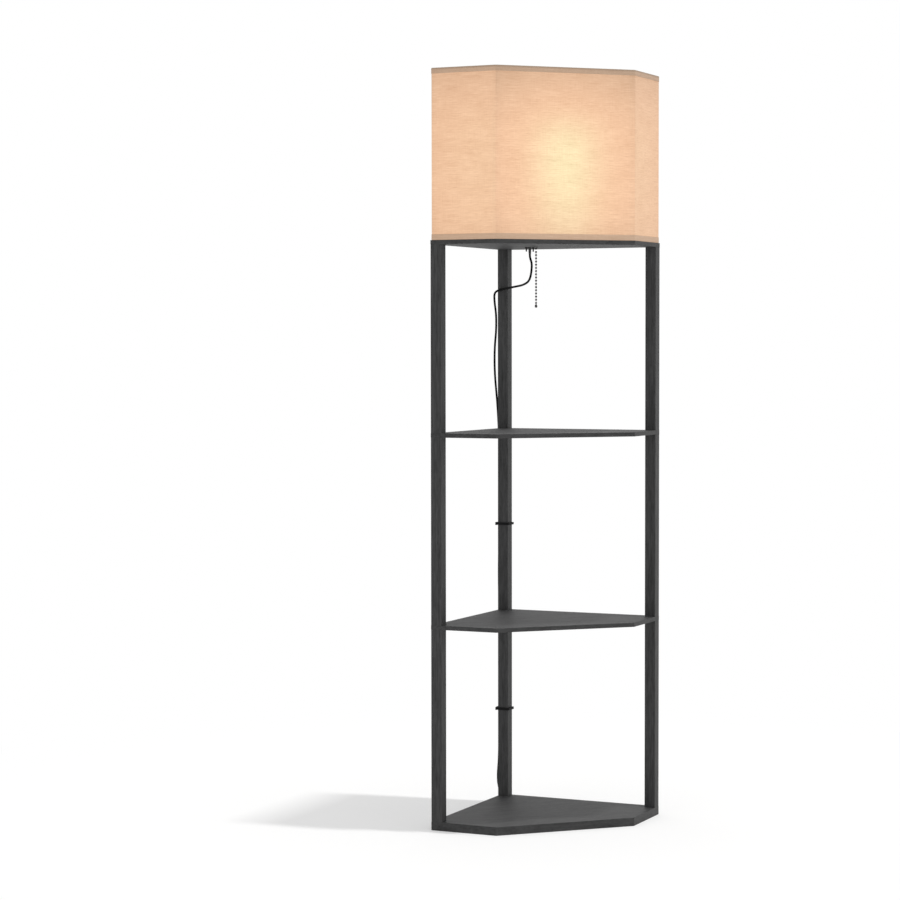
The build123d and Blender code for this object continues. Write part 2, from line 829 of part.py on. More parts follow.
def hank_path():
    runs = hank_runs()
    middle = hank_fold_radius + hank_step
    half = hank_run / 2
    edges = []
    for k, (y, z0, z1) in enumerate(runs):
        way = 1 if k % 2 == 0 else -1
        waist = y + (hank_waist if y < middle else -hank_waist)
        along = hank_point(1, 0, 0) - hank_point(0, 0, 0)
        first = hank_point(-way * half, y, z0)
        waist_point = hank_point(0, waist, (z0 + z1) / 2 + tie_thickness + tie_clearance)
        last = hank_point(way * half, y, z1)
        edges += s_bend(first, waist_point, along * way)
        edges += s_bend(waist_point, last, along * way)
        if k + 1 < len(runs):
            next_y = runs[k + 1][0]
            reach = abs(next_y - y) / 2
            crown = hank_point(way * (half + reach), (y + next_y) / 2, z1)
            edges.append(Edge.make_three_point_arc(last, crown, hank_point(way * half, next_y, z1)))
    edges += s_bend(last, tail_end(), along)
    return Wire(edges)


def tail_end():
    """Where the lead meets the plug, far enough out for the plug to clear the base."""
    return hank_point(hank_run / 2 + tail_length, plug_width / 2 - cord_diameter / 2 + tie_clearance, hank_layer)


def least_gap(path, diameter):
    """The smallest gap between stretches of the path that lie more than a fold apart along it."""
    step = 2.0
    count = int(path.length / step)
    points = [path.position_at(k / count) for k in range(count + 1)]
    apart = int(math.pi * hank_fold_radius * 0.8 / step)
    return min((points[i] - points[j]).length for i in range(count) for j in range(i + apart, count)) - diameter


def cord_hank():
    path = hank_path()
    solid = round_sweep(path, cord_diameter)
    expected = math.pi * (cord_diameter / 2) ** 2 * path.length
    print("hank length %.1f, volume %.1f against %.1f" % (path.length, solid.volume, expected))
    print("hank least gap %.2f" % least_gap(path, cord_diameter))
    return solid


def hank_tie():
    """The band round the waist of the hank."""
    low = hank_waist - cord_diameter / 2 - tie_clearance
    high = 2 * (hank_fold_radius + hank_step) - low
    hole_height = cord_diameter + hank_layer + 2 * tie_clearance
    height = hole_height + 2 * tie_thickness
    centre = hank_point(0, (low + high) / 2, (height - cord_diameter) / 2)
    outer = fillet(Rectangle(high - low + 2 * tie_thickness, height).vertices(), 2.4)
    hole = fillet(Rectangle(high - low, hole_height).vertices(), 1.8)
    across = hank_point(0, 1, 0) - hank_point(0, 0, 0)
    along = hank_point(1, 0, 0) - hank_point(0, 0, 0)
    frame = Plane(origin=centre, x_dir=across, z_dir=along)
    return extrude(frame * (outer - hole), tie_width / 2, both=True)


# Straps that hold the lead to the back post

def cord_strap():
    """A moulded strap round the back post and the lead, its buckle at the left corner of the post."""
    gap = strap_clearance
    out = cord_at_strap[1] - cord_diameter / 2 - gap
    reach = cord_diameter / 2 + 1.5
    points = [
        (-gap, post_side + gap), (-gap, 0), (cord_at_strap[0] - reach, out),
        (cord_at_strap[0] + reach, out), (post_side + gap, -gap), (post_side + gap, post_side + gap),
    ]
    inner = make_face(Polyline(*points, close=True))
    outer = offset(inner, amount=strap_thickness)
    inner = fillet(inner.vertices(), 0.8)
    strap = extrude(outer - inner, strap_width / 2, both=True)
    buckle = Pos(post_side - 1.0, -strap_thickness - gap, 0) * Box(strap_buckle, 3.2, strap_width + 1.4)
    return strap + buckle


def cord_straps():
    return [in_corner(Pos(0, 0, z) * cord_strap()) for z in strap_heights]


# Plug

def plug_frame(shape):
    """Moves a shape whose +x points out of the lead's end to the end of the hank's tail."""
    along = hank_point(1, 0, 0) - hank_point(0, 0, 0)
    return Plane(origin=tail_end(), x_dir=along, z_dir=(0, 0, 1)).location * shape


def plug_body():
    nose = Plane(origin=(0, 0, 0), z_dir=(1, 0, 0)) * Circle(cord_diameter / 2 + 0.4)
    root = Plane(origin=(plug_nose_length, 0, 0), z_dir=(1, 0, 0)) * Circle(plug_nose_root / 2)
    relief = loft([nose, root])
    drop = hank_layer + cord_diameter / 2 - plug_thickness / 2
    body = Pos(plug_nose_length + plug_length / 2, 0, -drop) * Box(plug_length, plug_width, plug_thickness)
    body = fillet(body.edges().filter_by(Axis.X), plug_edge_radius)
    body = fillet(body.faces().sort_by(Axis.X)[0].edges(), plug_edge_radius * 0.8)
    return plug_frame(relief + body)


def plug_blades():
    made = []
    for side in (-1, 1):
        blade = Box(blade_length + 6, blade_thickness, blade_width)
        blade -= Pos(blade_length / 2 - 1, 0, 0) * Rot(90, 0, 0) * Cylinder(1.5, blade_thickness * 3)
        x = plug_nose_length + plug_length + blade_length / 2 - 3
        made.append(plug_frame(Pos(x, side * blade_spacing / 2, 0) * blade))
    return made


def main():
    save("base_board", [in_corner(base_board())])
    save("lower_shelf", [in_corner(Pos(0, 0, lower_shelf_z) * shelf())])
    save("upper_shelf", [in_corner(Pos(0, 0, upper_shelf_z) * shelf())])
    save("lamp_board", [lamp_board() - clip_screw_holes()])
    for side, (x, y) in post_centres.items():
        for level, (z, length) in section_spans().items():
            save(f"{side}_post_{level}", [in_corner(Pos(x, y, z) * post_section(length))])
    save("post_inserts", all_inserts())
    save("shelf_studs", all_studs())
    save("base_bolts", base_bolts())
    save("lamp_board_bolts", lamp_board_bolts())

    save("shade_cloth", [shade_cloth()])
    save("shade_liner", [shade_liner()])
    tape = hem_tape()
    save("bottom_hem_tape", [in_corner(Pos(0, 0, lamp_board_top) * tape)])
    flipped = Pos(0, 0, shade_height) * mirror(tape, Plane.XY)
    save("top_hem_tape", [in_corner(Pos(0, 0, lamp_board_top) * flipped)])
    save("bottom_wire_ring", [wire_ring(lamp_board_top + ring_rise())])
    save("top_wire_ring", [wire_ring(lamp_board_top + shade_height - ring_rise())])
    save("shade_struts", shade_struts())
    save("shade_clips", at_clips(shade_clip()))
    save("shade_clip_screws", at_clips(clip_screw()))

    save("holder_base", [at_holder(holder_base())])
    save("switch_housing", [at_holder(switch_housing())])
    save("chain_guide", [at_holder(chain_guide())])
    save("holder_shell", [at_holder(holder_shell())])
    save("insulating_sleeve", [at_holder(insulating_sleeve())])
    save("screw_shell", [at_holder(screw_shell())])
    save("centre_contact", [at_holder(centre_contact())])
    save("holder_screws", holder_screws())
    save("holder_washers", holder_washers())
    save("holder_nuts", holder_nuts())

    save("bulb_glass", [at_holder(bulb_glass())])
    save("bulb_cap", [at_holder(bulb_cap())])
    save("bulb_insulator", [at_holder(bulb_insulator())])
    save("bulb_contact", [at_holder(bulb_contact())])
    save("bulb_stem", [at_holder(bulb_stem())])
    save("bulb_filament", [at_holder(bulb_filament())])

    save("chain_eyelet", [on_chain(chain_eyelet())])
    save("upper_chain", [on_chain(upper_chain())])
    save("chain_swivel_bead", [on_chain(swivel_bead())])
    save("hanging_chain", [on_chain(hanging_chain())])
    save("chain_bell", [on_chain(chain_bell())])

    save("cord_relief", [cord_relief()])
    save("power_cord", [power_cord()])
    save("cord_hank", [cord_hank()])
    save("hank_tie", [hank_tie()])
    save("cord_straps", cord_straps())
    save("plug_body", [plug_body() - plug_blades()])
    save("plug_blades", plug_blades())


main()
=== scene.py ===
import math
import random

import bmesh
import bpy
from mathutils import Matrix, Vector, noise


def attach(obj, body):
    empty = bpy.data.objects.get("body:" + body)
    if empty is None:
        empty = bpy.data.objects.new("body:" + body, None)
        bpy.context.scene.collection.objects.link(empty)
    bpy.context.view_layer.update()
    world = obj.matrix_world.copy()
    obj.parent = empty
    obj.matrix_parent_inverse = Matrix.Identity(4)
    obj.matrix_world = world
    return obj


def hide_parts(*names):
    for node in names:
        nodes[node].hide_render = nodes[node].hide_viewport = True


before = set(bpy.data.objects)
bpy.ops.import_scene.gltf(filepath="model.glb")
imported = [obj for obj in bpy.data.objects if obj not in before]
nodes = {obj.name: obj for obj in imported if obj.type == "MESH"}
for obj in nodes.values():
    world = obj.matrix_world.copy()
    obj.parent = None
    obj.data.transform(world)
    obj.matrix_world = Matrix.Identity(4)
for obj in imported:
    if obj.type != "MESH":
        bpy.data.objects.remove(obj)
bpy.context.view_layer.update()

scene = bpy.context.scene
mm = 0.001
print("frame loaded,", len(nodes), "pieces")

view = {
    "place": (-2.07585, -5.14738, 1.0278),
    "heading": 20.109,          # degrees from +Y towards +X
    "pitch": -2.3925,
    "roll": -0.0811,
    "lens": 102.788,            # for a 36 mm square sensor
}
light = {
    "ambient": 0.66,            # sky seen by the object
    "keyTowards": (-0.1811, 0.1279, -0.9751),
    "keyAway": 24.0,            # the key is a long narrow softbox far overhead
    "keySize": (0.60, 1.85),
    "keyPower": 2350.0,
    "keyTint": (1.0, 0.995, 0.985),
    "fillFrom": (3.0, -1.9, 0.95),
    "fillTarget": (0.0, 0.0, 0.75),
    "fillSize": 2.0,
    "fillPower": 6.5,
    "fillTint": (1.0, 0.98, 0.95),
    "floorSize": 30.0,
    "floorDrop": 0.0002,        # so the floor and the base board's underside share no plane
    "floorTone": 0.98,
    "shadowLift": 0.34,         # how much the floor's shadow is thinned for the viewer
    "fadeFrom": 0.75,           # the floor turns plain white between these distances
    "fadeTo": 1.6,
}


def aim(thing, target):
    towards = Vector(target) - thing.location
    thing.rotation_euler = towards.to_track_quat("-Z", "Y").to_euler()


def makeCamera():
    data = bpy.data.cameras.new("viewCamera")
    data.sensor_width = 36.0
    data.lens = view["lens"]
    data.clip_end = 60.0
    camera = bpy.data.objects.new("viewCamera", data)
    scene.collection.objects.link(camera)
    turn = Matrix.Rotation(math.radians(-view["heading"]), 4, "Z")
    tilt = Matrix.Rotation(math.radians(90 + view["pitch"]), 4, "X")
    roll = Matrix.Rotation(math.radians(view["roll"]), 4, "Z")
    camera.matrix_world = Matrix.Translation(view["place"]) @ turn @ tilt @ roll
    scene.camera = camera


def makeLamp(name, place, target, strength, tint):
    data = bpy.data.lights.new(name, "AREA")
    data.energy = strength
    data.color = tint
    lamp = bpy.data.objects.new(name, data)
    scene.collection.objects.link(lamp)
    lamp.location = place
    aim(lamp, target)
    return data


def makeLights():
    overhead = -light["keyAway"] * Vector(light["keyTowards"])
    key = makeLamp("keyLight", overhead, (0, 0, 0), light["keyPower"], light["keyTint"])
    key.shape = "RECTANGLE"
    key.size, key.size_y = light["keySize"]
    fill = makeLamp("fillLight", light["fillFrom"], light["fillTarget"], light["fillPower"],
                    light["fillTint"])
    fill.shape = "DISK"
    fill.size = light["fillSize"]


def feed(tree, made, values):       # links sockets, and sets anything else on the input itself
    for key, value in values.items():
        if isinstance(value, bpy.types.NodeSocket):
            tree.links.new(value, made.inputs[key])
        else:
            made.inputs[key].default_value = value


def add(tree, kind, values=None, **settings):
    made = tree.nodes.new(kind)
    for key, value in settings.items():
        setattr(made, key, value)
    feed(tree, made, values or {})
    return made


def calc(tree, operation, first, second=0.0, third=0.0, clamp=False):
    values = {0: first, 1: second, 2: third}
    return add(tree, "ShaderNodeMath", values, operation=operation, use_clamp=clamp).outputs[0]


def total(tree, *parts):
    whole = parts[0]
    for part in parts[1:]:
        whole = calc(tree, "ADD", whole, part)
    return whole


def remap(tree, value, low, high, newLow, newHigh):
    made = add(tree, "ShaderNodeMapRange", {"Value": value, "From Min": low, "From Max": high,
                                            "To Min": newLow, "To Max": newHigh})
    return made.outputs["Result"]


def sway(tree, value, reach):       # a noise value as a change of tone either way
    return remap(tree, value, 0.3, 0.7, -reach, reach)


def stretch(tree, vector, scale):
    return add(tree, "ShaderNodeMapping", {"Vector": vector, "Scale": scale}).outputs["Vector"]


def speckle(tree, vector, scale, detail=2.0, roughness=0.5):
    made = add(tree, "ShaderNodeTexNoise", {"Vector": vector, "Scale": scale, "Detail": detail,
                                            "Roughness": roughness})
    return made.outputs["Fac"]


def mixColour(tree, factor, first, second, way="MIX"):
    made = add(tree, "ShaderNodeMix", {}, data_type="RGBA", blend_type=way)
    feed(tree, made, {0: factor, 6: first, 7: second})
    return made.outputs[2]


def newGroup(name, inputs, outputs):
    tree = bpy.data.node_groups.new(name, "ShaderNodeTree")
    for label, kind, value in inputs:
        socket = tree.interface.new_socket(name=label, in_out="INPUT", socket_type=kind)
        if value is not None:
            socket.default_value = value
    for label, kind in outputs:
        tree.interface.new_socket(name=label, in_out="OUTPUT", socket_type=kind)
    entry = tree.nodes.new("NodeGroupInput")
    leave = tree.nodes.new("NodeGroupOutput")
    return tree, entry.outputs, leave


def finishGroup(tree, leave, results):
    for label, socket in results.items():
        tree.links.new(socket, leave.inputs[label])
    return tree


def placeGroup(tree, group, values):
    return add(tree, "ShaderNodeGroup", values, node_tree=group).outputs


def newMaterial(name, **plain):
    material = bpy.data.materials.new(name)
    material.use_nodes = True
    tree = material.node_tree
    shader = tree.nodes["Principled BSDF"]
    for key, value in plain.items():
        shader.inputs[key].default_value = value
    return material, tree, shader


def objectSpace(tree):
    return add(tree, "ShaderNodeTexCoord").outputs["Object"]


def attribute(tree, name):
    return add(tree, "ShaderNodeAttribute", attribute_name=name).outputs["Fac"]


def greyOf(tree, level):
    return add(tree, "ShaderNodeCombineColor", {"Red": level, "Green": level, "Blue": level}).outputs[0]


def tinted(tree, colour, tone):
    return mixColour(tree, 1.0, (*colour, 1.0), greyOf(tree, tone), "MULTIPLY")


def seenByViewer(tree):             # also through glass and in reflections
    paths = add(tree, "ShaderNodeLightPath").outputs
    indirect = calc(tree, "MAXIMUM", paths["Is Glossy Ray"], paths["Is Transmission Ray"])
    return calc(tree, "MAXIMUM", paths["Is Camera Ray"], indirect)


def bumpInto(tree, shader, height, distance, strength):
    bump = add(tree, "ShaderNodeBump", {"Height": height, "Strength": strength, "Distance": distance})
    tree.links.new(bump.outputs["Normal"], shader.inputs["Normal"])


surfaceOutputs = [(label, "NodeSocketFloat") for label in ("Tone", "Rough", "Height")]


def makeWoodGrain():
    tree, given, leave = newGroup(
        "woodGrain",
        [("Along", "NodeSocketVector", None), ("Mottle", "NodeSocketVector", None),
         ("Depth", "NodeSocketFloat", 1.0)],
        surfaceOutputs,
    )
    along = given["Along"]
    fibres = speckle(tree, along, 14.0, 4.0, 0.62)
    streaks = speckle(tree, along, 3.2, 3.0, 0.55)
    clouds = speckle(tree, along, 0.6, 2.0, 0.5)
    mottle = speckle(tree, given["Mottle"], 1.0, 4.0, 0.65)
    ticks = remap(tree, speckle(tree, given["Mottle"], 2.3, 2.0, 0.5), 0.30, 0.43, 0.0, 1.0)
    pores = remap(tree, fibres, 0.30, 0.44, 0.0, 1.0)
    change = total(tree, sway(tree, fibres, 0.12), sway(tree, streaks, 0.13), sway(tree, clouds, 0.06),
                   sway(tree, mottle, 0.17), remap(tree, ticks, 0.0, 1.0, -0.18, 0.0),
                   remap(tree, pores, 0.0, 1.0, -0.12, 0.0))
    tone = calc(tree, "MULTIPLY_ADD", change, given["Depth"], 1.0)
    rough = remap(tree, streaks, 0.3, 0.7, 0.52, 0.66)
    height = calc(tree, "MULTIPLY_ADD", fibres, 0.6, calc(tree, "MULTIPLY", pores, 0.5))
    return finishGroup(tree, leave, {"Tone": tone, "Rough": rough, "Height": height})


def makeEdgeRub():                  # paler where a rounded edge turns between two flat faces
    tree, given, leave = newGroup(
        "edgeRub",
        [("Place", "NodeSocketVector", None), ("Facing", "NodeSocketVector", None),
         ("Rims", "NodeSocketFloat", 1.0), ("Corners", "NodeSocketFloat", 0.0)],
        [("Mask", "NodeSocketFloat")],
    )
    axes = add(tree, "ShaderNodeSeparateXYZ", {"Vector": given["Facing"]}).outputs
    x, y, z = (calc(tree, "MULTIPLY", axes[way], axes[way]) for way in "XYZ")
    rims = calc(tree, "MULTIPLY", calc(tree, "MULTIPLY", z, calc(tree, "SUBTRACT", 1.0, z)), 4.0)
    spread = calc(tree, "SUBTRACT", x, y)
    corners = calc(tree, "MULTIPLY", spread, spread)
    rims = calc(tree, "MULTIPLY", rims, given["Rims"])
    corners = calc(tree, "MULTIPLY", corners, given["Corners"])
    patchy = remap(tree, speckle(tree, given["Place"], 46.0, 3.0), 0.38, 0.62, 0.25, 1.0)
    mask = calc(tree, "MULTIPLY", calc(tree, "MAXIMUM", rims, corners), patchy, clamp=True)
    return finishGroup(tree, leave, {"Mask": mask})


def makeLinenWeave():
    tree, given, leave = newGroup(
        "linenWeave",
        [("Cloth", "NodeSocketVector", None), ("Pitch", "NodeSocketFloat", 0.0009),
         ("Slub", "NodeSocketFloat", 1.0)],
        [("Warm", "NodeSocketColor"), ("Height", "NodeSocketFloat")],
    )
    cloth = given["Cloth"]

    def cells(along, upward, detail, roughness=0.5):        # noise cells in a metre each way
        return speckle(tree, stretch(tree, cloth, (along, upward, 1.0)), 1.0, detail, roughness)

    wander = cells(14.0, 120.0, 2.0)
    axes = add(tree, "ShaderNodeSeparateXYZ", {"Vector": cloth}).outputs
    turns = calc(tree, "DIVIDE", 2 * math.pi, given["Pitch"])

    def yarn(across, waver):
        shift = calc(tree, "MULTIPLY", wander, waver)
        return calc(tree, "SINE", calc(tree, "MULTIPLY_ADD", across, turns, shift))

    weft, warp = yarn(axes["Y"], 9.0), yarn(axes["X"], 7.0)
    weave = calc(tree, "MULTIPLY", calc(tree, "ADD", weft, calc(tree, "MULTIPLY", warp, 0.6)), 0.25)
    longSlub = cells(22.0, 620.0, 3.0, 0.6)
    shortSlub = cells(85.0, 1150.0, 2.0)
    crossSlub = cells(760.0, 30.0, 2.0)
    patches = cells(16.0, 34.0, 3.0, 0.6)
    slub = total(tree, sway(tree, longSlub, 0.085), sway(tree, shortSlub, 0.07),
                 sway(tree, crossSlub, 0.03), sway(tree, patches, 0.035))
    tone = calc(tree, "MULTIPLY_ADD", slub, given["Slub"], calc(tree, "MULTIPLY_ADD", weave, 0.05, 1.0))
    height = calc(tree, "MULTIPLY_ADD", longSlub, 1.1, calc(tree, "MULTIPLY_ADD", weave, 0.6, shortSlub))
    red = calc(tree, "MULTIPLY_ADD", tone, 0.72, 0.28)      # thick yarn lets the warm light through best
    blue = calc(tree, "MULTIPLY_ADD", tone, 1.22, -0.22)
    warm = add(tree, "ShaderNodeCombineColor", {"Red": red, "Green": tone, "Blue": blue}).outputs[0]
    return finishGroup(tree, leave, {"Warm": warm, "Height": height})


def makeMouldedSkin():
    tree, given, leave = newGroup(
        "mouldedSkin",
        [("Place", "NodeSocketVector", None), ("Grit", "NodeSocketFloat", 900.0),
         ("Rough", "NodeSocketFloat", 0.45)],
        surfaceOutputs,
    )
    grit = speckle(tree, given["Place"], given["Grit"], 3.0, 0.6)
    dust = speckle(tree, given["Place"], 42.0, 4.0, 0.6)
    tone = remap(tree, dust, 0.35, 0.7, 0.88, 1.2)
    rough = calc(tree, "ADD", given["Rough"], remap(tree, dust, 0.3, 0.7, -0.08, 0.1))
    return finishGroup(tree, leave, {"Tone": tone, "Rough": rough, "Height": grit})


def makeMetalRub():
    tree, given, leave = newGroup(
        "metalRub",
        [("Place", "NodeSocketVector", None), ("Drawn", "NodeSocketVector", (1.0, 1.0, 1.0)),
         ("Rough", "NodeSocketFloat", 0.3)],
        surfaceOutputs,
    )
    lined = add(tree, "ShaderNodeVectorMath", {0: given["Place"], 1: given["Drawn"]},
                operation="MULTIPLY")
    lines = speckle(tree, lined.outputs[0], 420.0, 4.0, 0.6)
    bloom = speckle(tree, given["Place"], 130.0, 4.0, 0.6)
    tone = calc(tree, "ADD", remap(tree, bloom, 0.3, 0.7, 0.82, 1.08), sway(tree, lines, 0.06))
    rough = calc(tree, "ADD", given["Rough"], remap(tree, bloom, 0.3, 0.7, 0.1, -0.06))
    return finishGroup(tree, leave, {"Tone": tone, "Rough": rough, "Height": lines})


woodGrain = makeWoodGrain()
edgeRub = makeEdgeRub()
linenWeave = makeLinenWeave()
mouldedSkin = makeMouldedSkin()
metalRub = makeMetalRub()
print("shared effects ready")


wood = {
    "colour": (0.0430, 0.0430, 0.0435),
    "rubbed": (0.066, 0.065, 0.065),
    "grainAcross": 70.0,
    "grainAlong": 2.2,
    "boardMottle": (95.0, 50.0),         # patches in a metre, across the grain and along it
    "postMottle": (210.0, 26.0),
    "wear": 0.45,
    "specular": 0.26,
    "bump": 0.00022,
}


def woodMaterial(name, direction, rims, corners, depth, mottle):
    material, tree, shader = newMaterial(name)
    place = objectSpace(tree)
    scale = [wood["grainAcross"]] * 3
    scale[direction] = wood["grainAlong"]
    spots = [mottle[0]] * 3
    spots[direction] = mottle[1]
    grain = placeGroup(tree, woodGrain, {"Along": stretch(tree, place, scale),
                                         "Mottle": stretch(tree, place, spots), "Depth": depth})
    facing = add(tree, "ShaderNodeNewGeometry").outputs["Normal"]
    rub = placeGroup(tree, edgeRub, {"Place": place, "Facing": facing, "Rims": rims, "Corners": corners})
    worn = calc(tree, "MULTIPLY", rub["Mask"], wood["wear"])
    colour = mixColour(tree, worn, tinted(tree, wood["colour"], grain["Tone"]), (*wood["rubbed"], 1.0))
    feed(tree, shader, {"Base Color": colour, "Roughness": grain["Rough"],
                        "Specular IOR Level": wood["specular"]})
    bumpInto(tree, shader, grain["Height"], wood["bump"], 0.6)
    return material


def addSkin(tree, shader, colour, rough, grit, bump, strength):
    skin = placeGroup(tree, mouldedSkin, {"Place": objectSpace(tree), "Grit": grit, "Rough": rough})
    feed(tree, shader, {"Base Color": tinted(tree, colour, skin["Tone"]), "Roughness": skin["Rough"]})
    bumpInto(tree, shader, skin["Height"], bump, strength)


def plasticMaterial(name, colour, rough, grit=900.0, bump=0.00004, strength=0.5, **plain):
    material, tree, shader = newMaterial(name, **plain)
    addSkin(tree, shader, colour, rough, grit, bump, strength)
    return material


def metalMaterial(name, colour, rough, drawn=(1.0, 1.0, 1.0), metallic=1.0):
    material, tree, shader = newMaterial(name, Metallic=metallic)
    rub = placeGroup(tree, metalRub, {"Place": objectSpace(tree), "Drawn": drawn, "Rough": rough})
    feed(tree, shader, {"Base Color": tinted(tree, colour, rub["Tone"]), "Roughness": rub["Rough"]})
    bumpInto(tree, shader, rub["Height"], 0.00002, 0.4)
    return material


linen = {
    "colour": (0.221, 0.168, 0.120),
    "glow": (0.742, 0.438, 0.268),       # light through the cloth away from the bulb
    "hotGlow": (0.755, 0.632, 0.370),    # and nearest to it
    "hemColour": (0.265, 0.200, 0.147),
    "hemGlow": (0.375, 0.240, 0.160),
    "pitch": 0.0009,
    "bump": 0.00022,
}


def linenMaterial(name, colour, glow, hotGlow, slub):
    material, tree, shader = newMaterial(name)
    cloth = add(tree, "ShaderNodeUVMap", uv_map="clothMetres").outputs["UV"]
    weave = placeGroup(tree, linenWeave, {"Cloth": cloth, "Pitch": linen["pitch"], "Slub": slub})
    through = mixColour(tree, attribute(tree, "nearBulb"), (*glow, 1.0), (*hotGlow, 1.0))
    through = mixColour(tree, 1.0, through, weave["Warm"], "MULTIPLY")
    through = mixColour(tree, 1.0, through, greyOf(tree, attribute(tree, "evenness")), "MULTIPLY")
    feed(tree, shader, {
        "Base Color": mixColour(tree, 1.0, (*colour, 1.0), weave["Warm"], "MULTIPLY"),
        "Emission Color": through, "Emission Strength": 1.0,
        "Roughness": 0.92, "Specular IOR Level": 0.2, "Sheen Weight": 0.08,
    })
    bumpInto(tree, shader, weave["Height"], linen["bump"], 0.55)
    return material


liner = {
    "colour": (0.62, 0.56, 0.45),
    "glow": (0.62, 0.43, 0.25),
    "hotGlow": (1.0, 0.82, 0.55),
    "strength": 0.6,
}


def linerMaterial():
    material, tree, shader = newMaterial("linerStyrene")
    addSkin(tree, shader, liner["colour"], 0.55, 260.0, 0.00003, 0.4)
    through = mixColour(tree, attribute(tree, "nearBulb"),
                        (*liner["glow"], 1.0), (*liner["hotGlow"], 1.0))
    feed(tree, shader, {"Emission Color": through, "Emission Strength": liner["strength"]})
    return material


bulb = {
    "middle": (0.0, 0.01909, 1.3783),
    "glassGlow": (1.0, 0.86, 0.56),
    "glass": (0.60, 0.59, 0.56),
    "strength": 0.52,
    "neck": (-0.046, -0.012),    # the glow weakens between these heights below the middle
    "neckGlow": 0.35,
}


def bulbMaterial():
    material, tree, shader = newMaterial("bulbFrost", Roughness=0.4)
    place = objectSpace(tree)
    axes = add(tree, "ShaderNodeSeparateXYZ", {"Vector": place}).outputs
    low, high = (bulb["middle"][2] + rise for rise in bulb["neck"])
    neck = remap(tree, axes["Z"], low, high, bulb["neckGlow"], 1.0)
    cloud = remap(tree, speckle(tree, place, 60.0, 3.0), 0.3, 0.7, 0.92, 1.05)
    feed(tree, shader, {
        "Emission Color": tinted(tree, bulb["glassGlow"], calc(tree, "MULTIPLY", neck, cloud)),
        "Emission Strength": bulb["strength"],
        "Base Color": tinted(tree, bulb["glass"], cloud), "Coat Weight": 0.5,
    })
    return material


def clearGlassMaterial():
    material, tree, shader = newMaterial("stemGlass", Roughness=0.06, IOR=1.5)
    seeds = speckle(tree, objectSpace(tree), 160.0, 3.0)
    colour = tinted(tree, (0.92, 0.95, 0.93), remap(tree, seeds, 0.3, 0.7, 0.94, 1.0))
    feed(tree, shader, {"Base Color": colour, "Transmission Weight": 1.0})
    bumpInto(tree, shader, seeds, 0.00006, 0.3)
    return material


boardWood = woodMaterial("boardWood", 0, 1.0, 0.0, 1.4, wood["boardMottle"])
postWood = woodMaterial("postWood", 2, 0.6, 1.0, 1.9, wood["postMottle"])
zincSteel = metalMaterial("zincSteel", (0.56, 0.56, 0.55), 0.32)
blackSteel = metalMaterial("blackSteel", (0.035, 0.034, 0.033), 0.42, metallic=0.6)
whiteWire = plasticMaterial("whiteWire", (0.78, 0.76, 0.72), 0.38, 1500.0)
brass = metalMaterial("spunBrass", (0.70, 0.50, 0.22), 0.28, drawn=(1.0, 1.0, 9.0))
chainMetal = metalMaterial("chainMetal", (0.075, 0.073, 0.07), 0.36, metallic=0.85)
capMetal = metalMaterial("capAluminium", (0.74, 0.74, 0.75), 0.3, drawn=(1.0, 1.0, 7.0))
filamentMetal = metalMaterial("filamentWire", (0.34, 0.33, 0.32), 0.4)
blackPhenolic = plasticMaterial("blackPhenolic", (0.018, 0.018, 0.019), 0.33, 620.0, 0.00003)
fibreBoard = plasticMaterial("paleFibre", (0.66, 0.58, 0.43), 0.8, 420.0, 0.00008)
strapNylon = plasticMaterial("strapNylon", (0.006, 0.006, 0.0065), 0.6, 1100.0,
                             **{"Specular IOR Level": 0.12})
plugRubber = plasticMaterial("plugRubber", (0.016, 0.016, 0.017), 0.5, 520.0, 0.00006)
cordSheath = plasticMaterial("cordSheath", (0.004, 0.004, 0.0043), 0.7, 700.0, 0.00005, 0.6,
                             **{"Specular IOR Level": 0.08})
bulbFrost = bulbMaterial()
stemGlass = clearGlassMaterial()
linerStyrene = linerMaterial()
linenCloth = linenMaterial("linenCloth", linen["colour"], linen["glow"], linen["hotGlow"], 1.2)
linenHem = linenMaterial("linenHem", linen["hemColour"], linen["hemGlow"], linen["hemGlow"], 0.9)
print("materials ready")


def dress(material, *names):
    for name in names:
        piece = nodes[name]
        if not piece.material_slots:
            piece.data.materials.append(material)
        for place in piece.material_slots:
            place.material = material


dress(boardWood, "base_board", "lower_shelf", "upper_shelf", "lamp_board")
for side in ("left", "right", "back"):
    dress(postWood, *(f"{side}_post_{level}" for level in ("lower", "middle", "upper")))
dress(zincSteel, "post_inserts", "shelf_studs", "shade_clip_screws")
dress(blackSteel, "base_bolts", "lamp_board_bolts", "holder_washers", "holder_nuts", "holder_screws")
dress(whiteWire, "bottom_wire_ring", "top_wire_ring", "shade_struts", "shade_clips")
dress(blackPhenolic, "holder_base", "switch_housing", "holder_shell", "cord_relief")
dress(brass, "chain_guide", "screw_shell", "centre_contact", "bulb_contact", "plug_blades")
dress(chainMetal, "chain_eyelet", "chain_swivel_bead")
dress(fibreBoard, "insulating_sleeve", "bulb_insulator")
dress(bulbFrost, "bulb_glass")
dress(stemGlass, "bulb_stem")
dress(capMetal, "bulb_cap")
dress(filamentMetal, "bulb_filament")
dress(strapNylon, "cord_straps")
dress(plugRubber, "plug_body")


def newPiece(name, verts, faces, material, smooth=True):
    mesh = bpy.data.meshes.new(name)
    mesh.from_pydata([tuple(v) for v in verts], [], faces)
    mesh.validate()
    piece = bpy.data.objects.new(name, mesh)
    scene.collection.objects.link(piece)
    mesh.materials.append(material)
    mesh.polygons.foreach_set("use_smooth", [smooth] * len(mesh.polygons))
    mesh.update()
    return piece


def facesOut(piece):
    work = bmesh.new()
    work.from_mesh(piece.data)
    bmesh.ops.remove_doubles(work, verts=work.verts, dist=1e-6)
    bmesh.ops.recalc_face_normals(work, faces=work.faces)
    work.to_mesh(piece.data)
    work.free()


